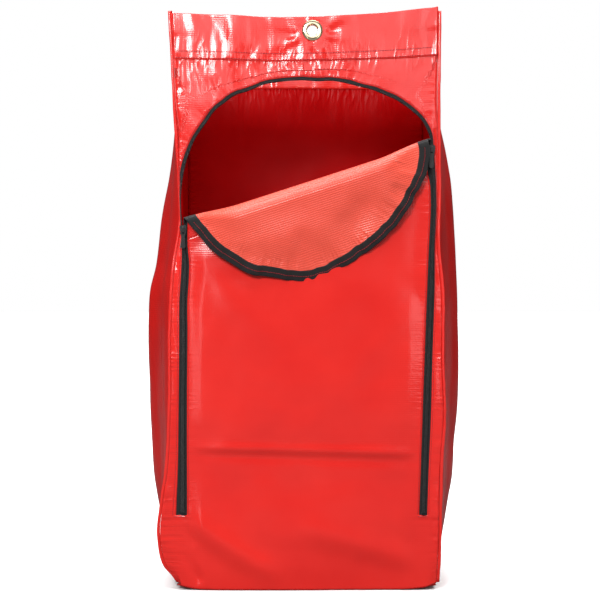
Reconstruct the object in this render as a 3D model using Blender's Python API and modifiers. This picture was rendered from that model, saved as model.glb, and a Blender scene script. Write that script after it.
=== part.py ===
"""A hanging vinyl cart bag with an arched zip door in its front, partly unzipped, the door's top folded out.

Run it with: blender --background --python part.py
Metres, +Z up. The origin is the centre of the bottom panel's underside, and the front faces -Y.

Plates that lie in the front or back wall are drawn as (x, z) outlines. Their place through the wall is a
depth, counted from the wall panel's outer face into the bag. The zip is drawn along its centreline, and t is
the distance from it, positive towards the door.
"""

import math

import bmesh
import bpy
from mathutils import Vector

# Vinyl sheet and the clearance between neighbours
VINYL = 0.0006
GAP = 0.0003

# Body
WIDTH = 0.390
DEPTH = 0.267
HEIGHT = 0.838
SIDE_BULGE = 0.0445
BULGE_TOP = 0.75
SIDE_ROWS = 28
SIDE_COLUMNS = 16
TRAY_LIP = 0.015
WELT_WIDTH = 0.0045

# Header band, a strip folded over the top edge
HEADER_HEIGHT = 0.069

# Grommets
GROMMET_X = 0.0085
GROMMET_DROP = 0.0295
EYE_RADIUS = 0.008
BARREL_WALL = 0.0007
FLANGE_RADIUS = 0.015
FLANGE_HEIGHT = 0.0014
WASHER = 0.001
GROMMET_HOLE = EYE_RADIUS + BARREL_WALL + GAP
ROUND_STEPS = 40

# Zip path: two straight runs, and over each a quarter of a superellipse. The left shoulder rises from lower down.
ZIP_CENTRE = 0.0015
ZIP_HALF_SPAN = 0.1795
ZIP_BOTTOM = 0.108
ZIP_TOP = 0.738
LEFT_SPRING = 0.545
RIGHT_SPRING = 0.646
LEFT_SQUARENESS = 2.3
RIGHT_SQUARENESS = 2.0
RIGHT_RUN_LEAN = 0.0115
SHOULDER_STEPS = 20

# Zip section
SLOT = 0.006
TAPE = 0.0005
TAPE_EDGE = 0.0016
DOOR_TAPE_WIDTH = 0.016
FRAME_TAPE_WIDTH = 0.0125
TAPE_TAIL = 0.010
COIL_EDGE = 0.00025
COIL_WIDTH = 0.003
COIL_HEIGHT = 0.0021
STOP_HEIGHT = 0.004
STOP_WIDTH = 0.0066

# Sliders: the height of each one's nose, which points up, where the two rows part
SLIDER_LENGTH = 0.014
SLIDER_WIDTH = 0.010
SLIDER_PLATE = 0.001
SLIDER_PLAY = 0.0004
RIM_INSET = 0.00025
LEFT_SLIDER_TOP = 0.527
RIGHT_SLIDER_TOP = 0.643
POST_WIDTH = 0.0024
BRIDGE_WIDTH = 0.0022
BRIDGE_LENGTH = 0.0092
BRIDGE_BAR = 0.0012
PULL_THICKNESS = 0.0012
PULL_WIDTH = 0.007
PULL_LENGTH = 0.027
PULL_PLAY = 0.0005
EYE_SIDE_PLAY = 0.0008
EYE_END_PLAY = 0.0016

# Fold of the door: it leaves the wall just over the sliders and rolls forward
FOLD_CLEARANCE = 0.0025
FOLD_RADIUS = 0.0085
FOLD_TURN = math.radians(92)
FOLD_MARGIN = math.radians(10)
FOLD_STEPS = 20

FRONT = -DEPTH / 2
TAPE_DEPTH = VINYL + GAP
COIL_DEPTH = TAPE_DEPTH - GAP - COIL_HEIGHT
HEADER_STACK = 3 * VINYL + 2 * GAP
FOLD_SLANT = math.atan2(RIGHT_SLIDER_TOP - LEFT_SLIDER_TOP, 2 * ZIP_HALF_SPAN)

# How far the slider's plates and the pull's hinge stand from the wall's outer face
CAVITY_OUT = COIL_HEIGHT - VINYL + SLIDER_PLAY
BACK_PLATE_DEPTH = TAPE_DEPTH + TAPE + SLIDER_PLAY
TOP_PLATE_OUT = CAVITY_OUT + SLIDER_PLATE
PULL_AXIS_OUT = TOP_PLATE_OUT + PULL_PLAY + PULL_THICKNESS / 2

RED = ("red_vinyl", (0.80, 0.03, 0.02), 0.22, 0.0)
BLACK_TAPE = ("black_zip_tape", (0.02, 0.02, 0.02), 0.85, 0.0)
BLACK_NYLON = ("black_nylon", (0.015, 0.015, 0.015), 0.35, 0.0)
BLACK_PAINT = ("black_enamel", (0.01, 0.01, 0.01), 0.3, 0.6)
BRASS = ("brass", (0.83, 0.66, 0.33), 0.25, 1.0)


# ---------------------------------------------------------------- scene and objects


def clear_scene():
    for obj in list(bpy.data.objects):
        bpy.data.objects.remove(obj)
    parts = bpy.data.collections.new("cart_bag")
    bpy.context.scene.collection.children.link(parts)
    return parts


def finish_of(finish):
    """The material of a (name, colour, roughness, metallic) finish, made once."""
    name, colour, roughness, metallic = finish
    material = bpy.data.materials.get(name)
    if material is None:
        material = bpy.data.materials.new(name)
        material.use_nodes = True
        shader = material.node_tree.nodes["Principled BSDF"]
        shader.inputs["Base Color"].default_value = (*colour, 1.0)
        shader.inputs["Roughness"].default_value = roughness
        shader.inputs["Metallic"].default_value = metallic
    return material


def add_object(name, data, finish):
    obj = bpy.data.objects.new(name, data)
    PARTS.objects.link(obj)
    obj.data.materials.append(finish_of(finish))
    return obj


def add_empty(name, location, parent=None):
    empty = bpy.data.objects.new(name, None)
    PARTS.objects.link(empty)
    empty.location = location
    empty.parent = parent
    return empty


def attach(obj, parent):
    """Parents obj, built in world coordinates, without moving it."""
    bpy.context.view_layer.update()
    obj.parent = parent
    obj.matrix_parent_inverse = parent.matrix_world.inverted()


def evaluated_copy(obj):
    graph = bpy.context.evaluated_depsgraph_get()
    mesh = bpy.data.meshes.new_from_object(obj.evaluated_get(graph))
    mesh.transform(obj.matrix_world)
    return mesh


def weld(mesh):
    working = bmesh.new()
    working.from_mesh(mesh)
    bmesh.ops.remove_doubles(working, verts=working.verts, dist=1e-6)
    working.to_mesh(mesh)
    working.free()


def fused(name, pieces, finish):
    """One solid from several closed ones, which are removed."""
    bpy.context.view_layer.update()
    meshes = [evaluated_copy(piece) for piece in pieces]
    for piece in pieces:
        bpy.data.objects.remove(piece)
    for mesh in meshes:
        weld(mesh)
    base = bpy.data.objects.new(name, meshes[0])
    PARTS.objects.link(base)
    for mesh in meshes[1:]:
        other = bpy.data.objects.new("joined", mesh)
        PARTS.objects.link(other)
        union = base.modifiers.new("union", "BOOLEAN")
        union.operation = "UNION"
        union.object = other
        bpy.context.view_layer.update()
        joined = evaluated_copy(base)
        base.modifiers.clear()
        base.data = joined
        bpy.data.objects.remove(other)
    base.data.materials.clear()
    base.data.materials.append(finish_of(finish))
    return base


# ---------------------------------------------------------------- shapes


def plate(name, outlines, depth, thickness, finish):
    """A flat plate in the XZ plane from closed (x, z) outlines, the first its rim and the others its holes.

    Its outer face is depth behind the plane through the object's origin.
    """
    curve = bpy.data.curves.new(name, "CURVE")
    curve.dimensions = "2D"
    curve.fill_mode = "BOTH"
    curve.extrude = thickness / 2
    for outline in outlines:
        spline = curve.splines.new("POLY")
        spline.points.add(len(outline) - 1)
        for point, (x, z) in zip(spline.points, outline):
            point.co = (x, z, 0, 1)
        spline.use_cyclic_u = True
    obj = add_object(name, curve, finish)
    obj.rotation_euler = (math.pi / 2, 0, 0)
    obj.location = (0, depth + thickness / 2, 0)
    return obj


def wall_plate(name, outlines, depth, thickness, finish):
    """A plate in the front wall."""
    return plate(name, outlines, FRONT + depth, thickness, finish)


def sheet(name, rows, thickness, finish):
    """An open grid of points given a thickness on the side away from its normals."""
    mesh = bpy.data.meshes.new(name)
    columns = len(rows[0])
    points = [point for row in rows for point in row]
    faces = [
        (i * columns + j, i * columns + j + 1, (i + 1) * columns + j + 1, (i + 1) * columns + j)
        for i in range(len(rows) - 1)
        for j in range(columns - 1)
    ]
    mesh.from_pydata(points, [], faces)
    obj = add_object(name, mesh, finish)
    solidify = obj.modifiers.new("thickness", "SOLIDIFY")
    solidify.thickness = thickness
    solidify.offset = -1
    solidify.use_even_offset = True
    return obj


def box(name, low, high, finish):
    working = bmesh.new()
    bmesh.ops.create_cube(working, size=1)
    size = Vector(high) - Vector(low)
    bmesh.ops.scale(working, verts=working.verts, vec=size)
    bmesh.ops.translate(working, verts=working.verts, vec=(Vector(high) + Vector(low)) / 2)
    mesh = bpy.data.meshes.new(name)
    working.to_mesh(mesh)
    working.free()
    return add_object(name, mesh, finish)


def turned(name, profile, finish):
    """A solid turned about its own Z axis from a closed (radius, height) profile."""
    mesh = bpy.data.meshes.new(name)
    count = len(profile)
    edges = [(i, (i + 1) % count) for i in range(count)]
    mesh.from_pydata([(radius, 0, height) for radius, height in profile], edges, [])
    obj = add_object(name, mesh, finish)
    screw = obj.modifiers.new("turn", "SCREW")
    screw.steps = ROUND_STEPS
    screw.render_steps = ROUND_STEPS
    screw.use_merge_vertices = True
    screw.merge_threshold = 1e-6
    return obj


def circle(x, z, radius, steps=ROUND_STEPS):
    turns = [2 * math.pi * i / steps for i in range(steps)]
    return [(x + radius * math.cos(a), z + radius * math.sin(a)) for a in turns]


def mirrored(outline):
    return [(-x, z) for x, z in reversed(outline)]


# ---------------------------------------------------------------- zip path


def shoulder(side, spring, squareness, angles):
    """(point, inward normal) pairs on the quarter superellipse that rises from spring to the top of the arch."""
    rise = ZIP_TOP - spring
    pairs = []
    for angle in angles:
        across = max(math.cos(angle), 0) ** (2 / squareness)
        up = math.sin(angle) ** (2 / squareness)
        point = Vector((ZIP_CENTRE + side * ZIP_HALF_SPAN * across, spring + rise * up))
        steepness = squareness - 1
        outward = Vector((side * across**steepness / ZIP_HALF_SPAN, up**steepness / rise))
        pairs.append((point, -outward.normalized()))
    return pairs


def zip_centreline():
    """(point, inward normal) pairs from the bottom of the left run, over the arch, to the bottom of the right run."""
    quarter = [math.pi / 2 * i / SHOULDER_STEPS for i in range(SHOULDER_STEPS + 1)]
    left = shoulder(-1, LEFT_SPRING, LEFT_SQUARENESS, quarter)
    right = shoulder(1, RIGHT_SPRING, RIGHT_SQUARENESS, quarter[-2::-1])
    left_foot = (Vector((run_x(-1, 0, ZIP_BOTTOM), ZIP_BOTTOM)), Vector((1, 0)))
    right_foot = (Vector((run_x(1, 0, ZIP_BOTTOM), ZIP_BOTTOM)), Vector((-1, 0)))
    return [left_foot, *left, *right, right_foot]


def run_x(side, t, z):
    """x of the parallel at t on a straight run at height z. side is -1 for the left run and 1 for the right one."""
    lean = RIGHT_RUN_LEAN * (RIGHT_SPRING - z) / (RIGHT_SPRING - ZIP_BOTTOM) if side > 0 else 0
    return ZIP_CENTRE + side * (ZIP_HALF_SPAN - t) - lean


def parallel(t):
    """The zip's line moved sideways by t, towards the door."""
    return [tuple(point + normal * t) for point, normal in zip_centreline()]


def fold_height(x):
    """The height of the fold's lower edge at x. It slants between the two sliders."""
    left, right = LEFT_SLIDER_TOP, RIGHT_SLIDER_TOP
    share = (x - ZIP_CENTRE + ZIP_HALF_SPAN) / (2 * ZIP_HALF_SPAN)
    return left + (right - left) * share + FOLD_CLEARANCE


def door_corner(side, t):
    """The top corner of the door's flat part on the parallel at t, just under the fold."""
    x = run_x(side, t, RIGHT_SLIDER_TOP)
    return (x, fold_height(x) - GAP)


def to_fold(point):
    """A wall point (x, z) in the fold's own (u, n): u along the fold, n up the door from the fold's lower edge."""
    x, z = point[0], point[1] - fold_height(0)
    cos, sin = math.cos(FOLD_SLANT), math.sin(FOLD_SLANT)
    return (x * cos + z * sin, z * cos - x * sin)


def above(line, limit):
    """The stretch of an open (u, n) line that is over n = limit, ending exactly on it."""
    kept = []
    for first, second in zip(line, line[1:]):
        crosses = (first[1] < limit) != (second[1] < limit)
        if first[1] >= limit:
            kept.append(first)
        if crosses:
            share = (limit - first[1]) / (second[1] - first[1])
            kept.append((first[0] + share * (second[0] - first[0]), limit))
    return kept


def door_line(t, limit):
    """The door's parallel at t, in (u, n), over n = limit."""
    return above([to_fold(point) for point in parallel(t)], limit)


# ---------------------------------------------------------------- body


def front_outline():
    """The front panel: its rim, the grommet hole, and the slot round the door with the opening over the fold."""
    half, top = WIDTH / 2, HEIGHT - VINYL - GAP
    rim = [(-half, 0), (half, 0), (half, top), (-half, top)]
    left_top, right_top = door_corner(-1, SLOT), door_corner(1, SLOT)
    opening = parallel(-SLOT) + [
        (run_x(1, SLOT, ZIP_BOTTOM), ZIP_BOTTOM),
        right_top,
        left_top,
        (run_x(-1, SLOT, ZIP_BOTTOM), ZIP_BOTTOM),
    ]
    return [rim, opening, circle(GROMMET_X, HEIGHT - GROMMET_DROP, GROMMET_HOLE)]


def make_front_and_back():
    wall_plate("front_panel", front_outline(), 0, VINYL, RED)
    half, top = WIDTH / 2, HEIGHT - VINYL - GAP
    rim = [(-half, 0), (half, 0), (half, top), (-half, top)]
    hole = circle(GROMMET_X, HEIGHT - GROMMET_DROP, GROMMET_HOLE)
    plate("back_panel", [rim, hole], -FRONT - VINYL, VINYL, RED)


def side_reach(y, z):
    """How far the side wall's outer face stands from the middle: it bulges between the corners."""
    up = math.sin(math.pi * min(z, BULGE_TOP) / BULGE_TOP) if z < BULGE_TOP else 0
    across = math.cos(math.pi * y / DEPTH)
    return WIDTH / 2 + SIDE_BULGE * max(up, 0) ** 0.9 * max(across, 0) ** 1.6


def make_side(name, side):
    """side is -1 for the left wall and 1 for the right one."""
    inset = VINYL + GAP
    top = HEIGHT - VINYL - GAP
    heights = [top * i / SIDE_ROWS for i in range(SIDE_ROWS + 1)]
    span = DEPTH - 2 * inset
    across = [FRONT + inset + span * i / SIDE_COLUMNS for i in range(SIDE_COLUMNS + 1)]
    rows = [[(side * side_reach(y, z), side * y, z) for y in across] for z in heights]
    sheet(name, rows, VINYL, RED)


def make_bottom():
    """A shallow tray. Its lips stand inside the walls, where they are sewn."""
    half_x, half_y = WIDTH / 2 - VINYL - GAP, DEPTH / 2 - VINYL - GAP
    tray = box("bottom_panel", (-half_x, -half_y, 0), (half_x, half_y, TRAY_LIP), RED)
    working = bmesh.new()
    working.from_mesh(tray.data)
    top = [face for face in working.faces if face.normal.z > 0.5]
    bmesh.ops.delete(working, geom=top, context="FACES_ONLY")
    working.to_mesh(tray.data)
    working.free()
    solidify = tray.modifiers.new("thickness", "SOLIDIFY")
    solidify.thickness = VINYL
    solidify.offset = -1
    solidify.use_even_offset = True


def make_welts():
    """The four upright seams: the allowances of two walls, sewn together and standing out as a fin."""
    thick = 2 * VINYL
    start = WIDTH / 2 + GAP
    for row, y in (("front", FRONT), ("back", -FRONT - thick)):
        for side, x in (("left", -start - WELT_WIDTH), ("right", start)):
            box(f"{row}_{side}_seam_welt", (x, y, 0), (x + WELT_WIDTH, y + thick, HEIGHT), RED)


def make_header(name, half_length, wall, turn):
    """A strip folded over a wall's top edge. wall is the distance of that wall's outer face from the origin."""
    inner, outer = wall - 2 * VINYL - GAP, wall + GAP + VINYL
    low = HEIGHT - HEADER_HEIGHT
    profile = [(inner, low), (inner, HEIGHT), (outer, HEIGHT), (outer, low)]
    rows = [[(x, -out, z) for out, z in profile] for x in (-half_length, half_length)]
    band = sheet(name, rows, VINYL, RED)
    band.rotation_euler = (0, 0, turn)
    return band


def make_headers():
    front_half = WIDTH / 2 - VINYL - GAP
    side_half = DEPTH / 2 - 2 * VINYL - 3 * GAP
    front = make_header("front_header_band", front_half, DEPTH / 2, 0)
    back = make_header("back_header_band", front_half, DEPTH / 2, math.pi)
    make_header("left_header_band", side_half, WIDTH / 2, -math.pi / 2)
    make_header("right_header_band", side_half, WIDTH / 2, math.pi / 2)
    for band, y in ((front, FRONT), (back, -FRONT)):
        cut_round_hole(band, GROMMET_X, y, HEIGHT - GROMMET_DROP, GROMMET_HOLE)


def cut_round_hole(obj, x, y, z, radius):
    """Cuts a hole along Y through obj at (x, y, z)."""
    working = bmesh.new()
    length = 6 * HEADER_STACK
    bmesh.ops.create_cone(
        working, cap_ends=True, segments=ROUND_STEPS, radius1=radius, radius2=radius, depth=length
    )
    mesh = bpy.data.meshes.new("hole_cutter")
    working.to_mesh(mesh)
    working.free()
    cutter = bpy.data.objects.new("hole_cutter", mesh)
    CUTTERS.objects.link(cutter)
    cutter.location = (x, y, z)
    cutter.rotation_euler = (math.pi / 2, 0, 0)
    cutter.hide_render = True
    cutter.display_type = "WIRE"
    cut = obj.modifiers.new("hole", "BOOLEAN")
    cut.operation = "DIFFERENCE"
    cut.object = cutter


# ---------------------------------------------------------------- grommets


def make_grommet(row, y, turn):
    """An eyelet set from outside through the header, and the washer that it is curled over on the inside.

    Heights are counted outwards from the header band's outer face, which is at y.
    """
    barrel = EYE_RADIUS + BARREL_WALL
    washer_top = -HEADER_STACK - GAP
    curl = washer_top - WASHER - GAP
    crown = GAP + FLANGE_HEIGHT
    eyelet = [
        (EYE_RADIUS, crown - 0.0008),
        (EYE_RADIUS + 0.001, crown),
        (FLANGE_RADIUS - 0.0018, crown),
        (FLANGE_RADIUS - 0.0003, crown - 0.0006),
        (FLANGE_RADIUS, GAP),
        (barrel, GAP),
        (barrel, curl),
        (barrel + 0.0019, curl),
        (barrel + 0.0017, curl - 0.0006),
        (EYE_RADIUS + 0.0006, curl - 0.0007),
        (EYE_RADIUS, curl - 0.0002),
    ]
    washer = [
        (GROMMET_HOLE, washer_top),
        (FLANGE_RADIUS, washer_top),
        (FLANGE_RADIUS, washer_top - WASHER),
        (GROMMET_HOLE, washer_top - WASHER),
    ]
    for name, profile in ((f"{row}_grommet_eyelet", eyelet), (f"{row}_grommet_washer", washer)):
        ring = turned(name, profile, BRASS)
        ring.location = (GROMMET_X, y, HEIGHT - GROMMET_DROP)
        ring.rotation_euler = (turn, 0, 0)


# ---------------------------------------------------------------- zip on the body


def run_outline(side, t0, t1, bottom, top0, top1):
    """A straight strip of the zip between t0 and t1, with its bottom level and a top height for each edge."""
    corners = [(t0, bottom), (t1, bottom), (t1, top1), (t0, top0)]
    return [(run_x(side, t, z), z) for t, z in corners[::-side]]


def make_frame_tape():
    """The tape sewn behind the front panel's edge, up one side, over the arch and down the other."""
    outer, inner = parallel(-FRAME_TAPE_WIDTH), parallel(-TAPE_EDGE)
    low = ZIP_BOTTOM - TAPE_TAIL
    for t, line in ((-FRAME_TAPE_WIDTH, outer), (-TAPE_EDGE, inner)):
        line[0] = (run_x(-1, t, low), low)
        line[-1] = (run_x(1, t, low), low)
    wall_plate("frame_zip_tape", [outer + inner[::-1]], TAPE_DEPTH, TAPE, BLACK_TAPE)


def make_frame_coil():
    """The parted row of teeth on the frame's side, from one slider over the arch to the other."""

    def row_line(t):
        line = parallel(t)
        line[0] = (line[0][0], LEFT_SLIDER_TOP + PULL_PLAY)
        line[-1] = (run_x(1, t, RIGHT_SLIDER_TOP + PULL_PLAY), RIGHT_SLIDER_TOP + PULL_PLAY)
        return line

    near, far = row_line(-COIL_EDGE), row_line(-COIL_WIDTH)
    wall_plate("frame_zip_coil", [far + near[::-1]], COIL_DEPTH, COIL_HEIGHT, BLACK_NYLON)


def make_closed_run(name, side, slider_top):
    """The closed stretch under a slider: the door's tape, the meshed rows and the stop at their foot."""
    low = ZIP_BOTTOM - TAPE_TAIL
    tops = [door_corner(side, t)[1] for t in (TAPE_EDGE, DOOR_TAPE_WIDTH)]
    tape = run_outline(side, TAPE_EDGE, DOOR_TAPE_WIDTH, low, *tops)
    wall_plate(f"{name}_door_zip_tape", [tape], TAPE_DEPTH, TAPE, BLACK_TAPE)
    chain_low = ZIP_BOTTOM + STOP_HEIGHT + 2 * GAP
    chain_top = slider_top - SLIDER_LENGTH / 2 + PULL_PLAY
    chain = run_outline(side, -COIL_WIDTH, COIL_WIDTH, chain_low, chain_top, chain_top)
    wall_plate(f"{name}_zip_chain", [chain], COIL_DEPTH, COIL_HEIGHT, BLACK_NYLON)
    half = STOP_WIDTH / 2
    stop_low = ZIP_BOTTOM + GAP
    stop = run_outline(side, -half, half, stop_low, stop_low + STOP_HEIGHT, stop_low + STOP_HEIGHT)
    wall_plate(f"{name}_zip_stop", [stop], COIL_DEPTH - GAP, COIL_HEIGHT + GAP, BLACK_PAINT)


# ---------------------------------------------------------------- sliders and pulls


def slider_outline(inset=0.0):
    """The slider's plan, wider at the nose, which is up."""
    nose, tail, length = SLIDER_WIDTH / 2 - inset, 0.39 * SLIDER_WIDTH - inset, SLIDER_LENGTH / 2 - inset
    right = [(tail, -length), (nose, 0.2 * length), (nose, 0.75 * length), (0.7 * nose, length)]
    return right + mirrored(right)


def slider_flange():
    """One side rim of the front plate, which keeps the teeth in. It hangs down towards the tape."""
    outer = slider_outline(RIM_INSET)[:3]
    inner_x = COIL_WIDTH + SLIDER_PLAY
    return outer + [(inner_x, outer[2][1]), (inner_x, outer[0][1])]


def bridge_profile():
    """The loop over the slider that the pull hangs in, as (height along the zip, distance out)."""
    half = BRIDGE_LENGTH / 2
    foot = TOP_PLATE_OUT - SLIDER_PLATE / 2
    under = PULL_AXIS_OUT + PULL_THICKNESS / 2 + PULL_PLAY
    crown = under + BRIDGE_BAR
    bar = BRIDGE_BAR
    right = [(half, foot), (half, crown - 1.3 * bar), (half - bar, crown)]
    hollow = [(half - bar, foot), (half - bar, under - 0.6 * bar), (half - 1.6 * bar, under)]
    outer = right + [(-z, out) for z, out in reversed(right)]
    inner = hollow + [(-z, out) for z, out in reversed(hollow)]
    return outer + inner[::-1]


def make_slider(name, side, top):
    """A slider's two plates, the post that parts the rows, its rims and the bridge for its pull."""
    length = SLIDER_LENGTH / 2
    post = [(POST_WIDTH / 4, 0.2 * length), (POST_WIDTH / 2, 0.55 * length), (POST_WIDTH / 2, 0.95 * length)]
    post = post + mirrored(post)
    front_depth = -TOP_PLATE_OUT
    rim_depth = -CAVITY_OUT - SLIDER_PLATE / 2
    rim = TAPE_DEPTH - SLIDER_PLAY - rim_depth
    overlap = SLIDER_PLATE / 2
    post_depth = front_depth + overlap
    post_length = BACK_PLATE_DEPTH + overlap - post_depth
    bridge = plate(f"{name}_bridge", [bridge_profile()], -BRIDGE_WIDTH / 2, BRIDGE_WIDTH, BLACK_PAINT)
    bridge.rotation_euler = (math.pi, -math.pi / 2, 0)
    bridge.location = (0, 0, 0)
    pieces = [
        plate(f"{name}_front", [slider_outline()], front_depth, SLIDER_PLATE, BLACK_PAINT),
        plate(f"{name}_back", [slider_outline()], BACK_PLATE_DEPTH, SLIDER_PLATE, BLACK_PAINT),
        plate(f"{name}_post", [post], post_depth, post_length, BLACK_PAINT),
        plate(f"{name}_rim_1", [slider_flange()], rim_depth, rim, BLACK_PAINT),
        plate(f"{name}_rim_2", [mirrored(slider_flange())], rim_depth, rim, BLACK_PAINT),
        bridge,
    ]
    body = fused(f"{name}_slider_body", pieces, BLACK_PAINT)
    centre = top - length
    body.location = (run_x(side, 0, centre), FRONT, centre)
    body.rotation_euler = (0, math.atan2(run_x(side, 0, top) - run_x(side, 0, centre), length), 0)
    return body


def pull_outline():
    """The pull: an eye round the bridge's bar, and a tongue. The hinge axis is at the origin, in the eye's bar."""
    bar = PULL_THICKNESS / 2
    half = PULL_WIDTH / 2
    neck = 0.72 * half
    eye_end = -BRIDGE_LENGTH / 2 - EYE_END_PLAY
    low = -PULL_LENGTH + half
    end = [(half * math.sin(a), low - half * math.cos(a)) for a in (math.pi * i / 8 for i in range(5))]
    right = [*end, (neck, eye_end - 0.004), (half, eye_end), (half, -bar), (half - bar, bar)]
    rim = right + mirrored(right[1:])
    eye_half = BRIDGE_WIDTH / 2 + EYE_SIDE_PLAY
    eye = [(-eye_half, eye_end), (eye_half, eye_end), (eye_half, -bar), (-eye_half, -bar)]
    return [rim, eye]


def make_pull(name, slider):
    pull = plate(f"{name}_pull_tab", pull_outline(), -PULL_THICKNESS / 2, PULL_THICKNESS, BLACK_PAINT)
    hinge = add_empty(f"{name}_pull_hinge", (0, -PULL_AXIS_OUT, 0), slider)
    pull.location = (0, 0, 0)
    pull.parent = hinge


# ---------------------------------------------------------------- folded door


def hinge_offset():
    """Where the fold's two hinges lie from the start of the arc that each one straightens, as (out, up).

    It is the centre of the one turn that carries the arc's end, at FOLD_RADIUS, to where it lies when flat.
    """
    turn = complex(math.cos(FOLD_TURN), math.sin(FOLD_TURN))
    rolled = complex(FOLD_RADIUS * (1 - turn.real), FOLD_RADIUS * turn.imag)
    flat = complex(0, FOLD_RADIUS * FOLD_TURN)
    centre = (flat - turn * rolled) / (1 - turn)
    return centre.real, centre.imag


def rolled_point(u, n, depth):
    """A point n up the door, on the fold's roll, in the fold's frame: u along it, y into the bag, z up."""
    angle = n / FOLD_RADIUS
    radius = FOLD_RADIUS + depth
    out = FOLD_RADIUS - radius * math.cos(angle)
    return (u, -out, radius * math.sin(angle))


def rolled_strip(name, edges, depth, thickness, finish, columns):
    """A strip of the door that lies on the roll. edges(n) gives its two ends, in u, at n up the door."""
    total = 2 * FOLD_TURN
    rows = []
    for i in range(FOLD_STEPS + 1):
        angle = FOLD_MARGIN + (total - 2 * FOLD_MARGIN) * i / FOLD_STEPS
        n = FOLD_RADIUS * angle
        low, high = edges(n)
        row = [low + (high - low) * j / columns for j in range(columns + 1)]
        rows.append([rolled_point(u, n, depth) for u in row])
    return sheet(name, rows, thickness, finish)


def door_edge(t, side):
    """A function of n that gives u on the door's parallel at t, on its left or right side."""
    line = door_line(t, 0)
    middle = max(range(len(line)), key=lambda i: line[i][1])
    branch = line[: middle + 1] if side < 0 else line[middle:][::-1]

    def u_at(n):
        for (u0, n0), (u1, n1) in zip(branch, branch[1:]):
            if n0 <= n <= n1:
                return u0 + (u1 - u0) * (n - n0) / (n1 - n0)
        return branch[-1][0]

    return u_at


def band_edges(t0, t1, side):
    """Both edges of a strip between t0 and t1, the lower u first."""
    first, second = (t0, t1) if side < 0 else (t1, t0)
    low, high = door_edge(first, side), door_edge(second, side)
    return lambda n: (low(n), high(n))


def make_fold(fold_frame, fold_hinge):
    left, right = door_edge(SLOT, -1), door_edge(SLOT, 1)
    strips = [
        rolled_strip("door_fold", lambda n: (left(n), right(n)), 0, VINYL, RED, 8),
    ]
    for name, side in (("left", -1), ("right", 1)):
        tape = band_edges(TAPE_EDGE, DOOR_TAPE_WIDTH, side)
        coil = band_edges(COIL_EDGE, COIL_WIDTH, side)
        strips.append(rolled_strip(f"{name}_fold_zip_tape", tape, TAPE_DEPTH, TAPE, BLACK_TAPE, 2))
        strips.append(
            rolled_strip(f"{name}_fold_zip_coil", coil, COIL_DEPTH, COIL_HEIGHT, BLACK_NYLON, 1)
        )
    for strip in strips:
        solidify = strip.modifiers["thickness"]
        solidify.offset = 1
        strip.matrix_world = fold_frame.matrix_world.copy()
        attach(strip, fold_hinge)


def make_flap(flap_hinge, start):
    """The door's top over the roll. It is drawn closed, in the fold's frame, and hangs on the turned hinges."""

    def band(t0, t1):
        return door_line(t0, start) + door_line(t1, start)[::-1]

    pieces = [
        plate("door_flap", [door_line(SLOT, start)], 0, VINYL, RED),
        plate("flap_zip_tape", [band(TAPE_EDGE, DOOR_TAPE_WIDTH)], TAPE_DEPTH, TAPE, BLACK_TAPE),
        plate("flap_zip_coil", [band(COIL_EDGE, COIL_WIDTH)], COIL_DEPTH, COIL_HEIGHT, BLACK_NYLON),
    ]
    out, up = hinge_offset()
    to_hinge = Vector((0, -out, up + FOLD_RADIUS * FOLD_TURN))
    for piece in pieces:
        piece.location -= to_hinge
        piece.parent = flap_hinge


def make_door():
    """The fold's frame, its two hinges, turned open, and what hangs on them."""
    frame = add_empty("fold_frame", (0, FRONT, fold_height(0)))
    frame.rotation_euler = (0, -FOLD_SLANT, 0)
    out, up = hinge_offset()
    fold_hinge = add_empty("fold_hinge", (0, -out, up), frame)
    flap_hinge = add_empty("flap_hinge", (0, 0, FOLD_RADIUS * FOLD_TURN), fold_hinge)
    for hinge in (fold_hinge, flap_hinge):
        hinge.rotation_euler = (FOLD_TURN, 0, 0)
    bpy.context.view_layer.update()
    make_fold(frame, fold_hinge)
    make_flap(flap_hinge, 2 * FOLD_TURN * FOLD_RADIUS)


# ---------------------------------------------------------------- build

PARTS = clear_scene()
CUTTERS = bpy.data.collections.new("cutters")
bpy.context.scene.collection.children.link(CUTTERS)

make_front_and_back()
make_side("left_side_panel", -1)
make_side("right_side_panel", 1)
make_bottom()
make_welts()
make_headers()
make_grommet("front", FRONT - GAP - VINYL, math.pi / 2)
make_grommet("back", -FRONT + GAP + VINYL, -math.pi / 2)
make_frame_tape()
make_frame_coil()
for run_name, run_side, nose in (("left", -1, LEFT_SLIDER_TOP), ("right", 1, RIGHT_SLIDER_TOP)):
    make_closed_run(run_name, run_side, nose)
    make_pull(run_name, make_slider(run_name, run_side, nose))
make_door()
bpy.context.view_layer.update()
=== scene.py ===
"""The looks of the hanging vinyl cart bag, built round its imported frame.

Everything is in metres, in the frame's own axes: +X to the right seen from the front, the front faces -Y,
+Z up. A point of the front wall is given by (x, z) as it was sewn, flat, and drape_front() puts it in space.
A point of the door over its fold is given by (u, n): u along the fold and n up the door from its lower edge.
A depth is counted from the outer face of the vinyl into the bag.
"""

import math

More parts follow.
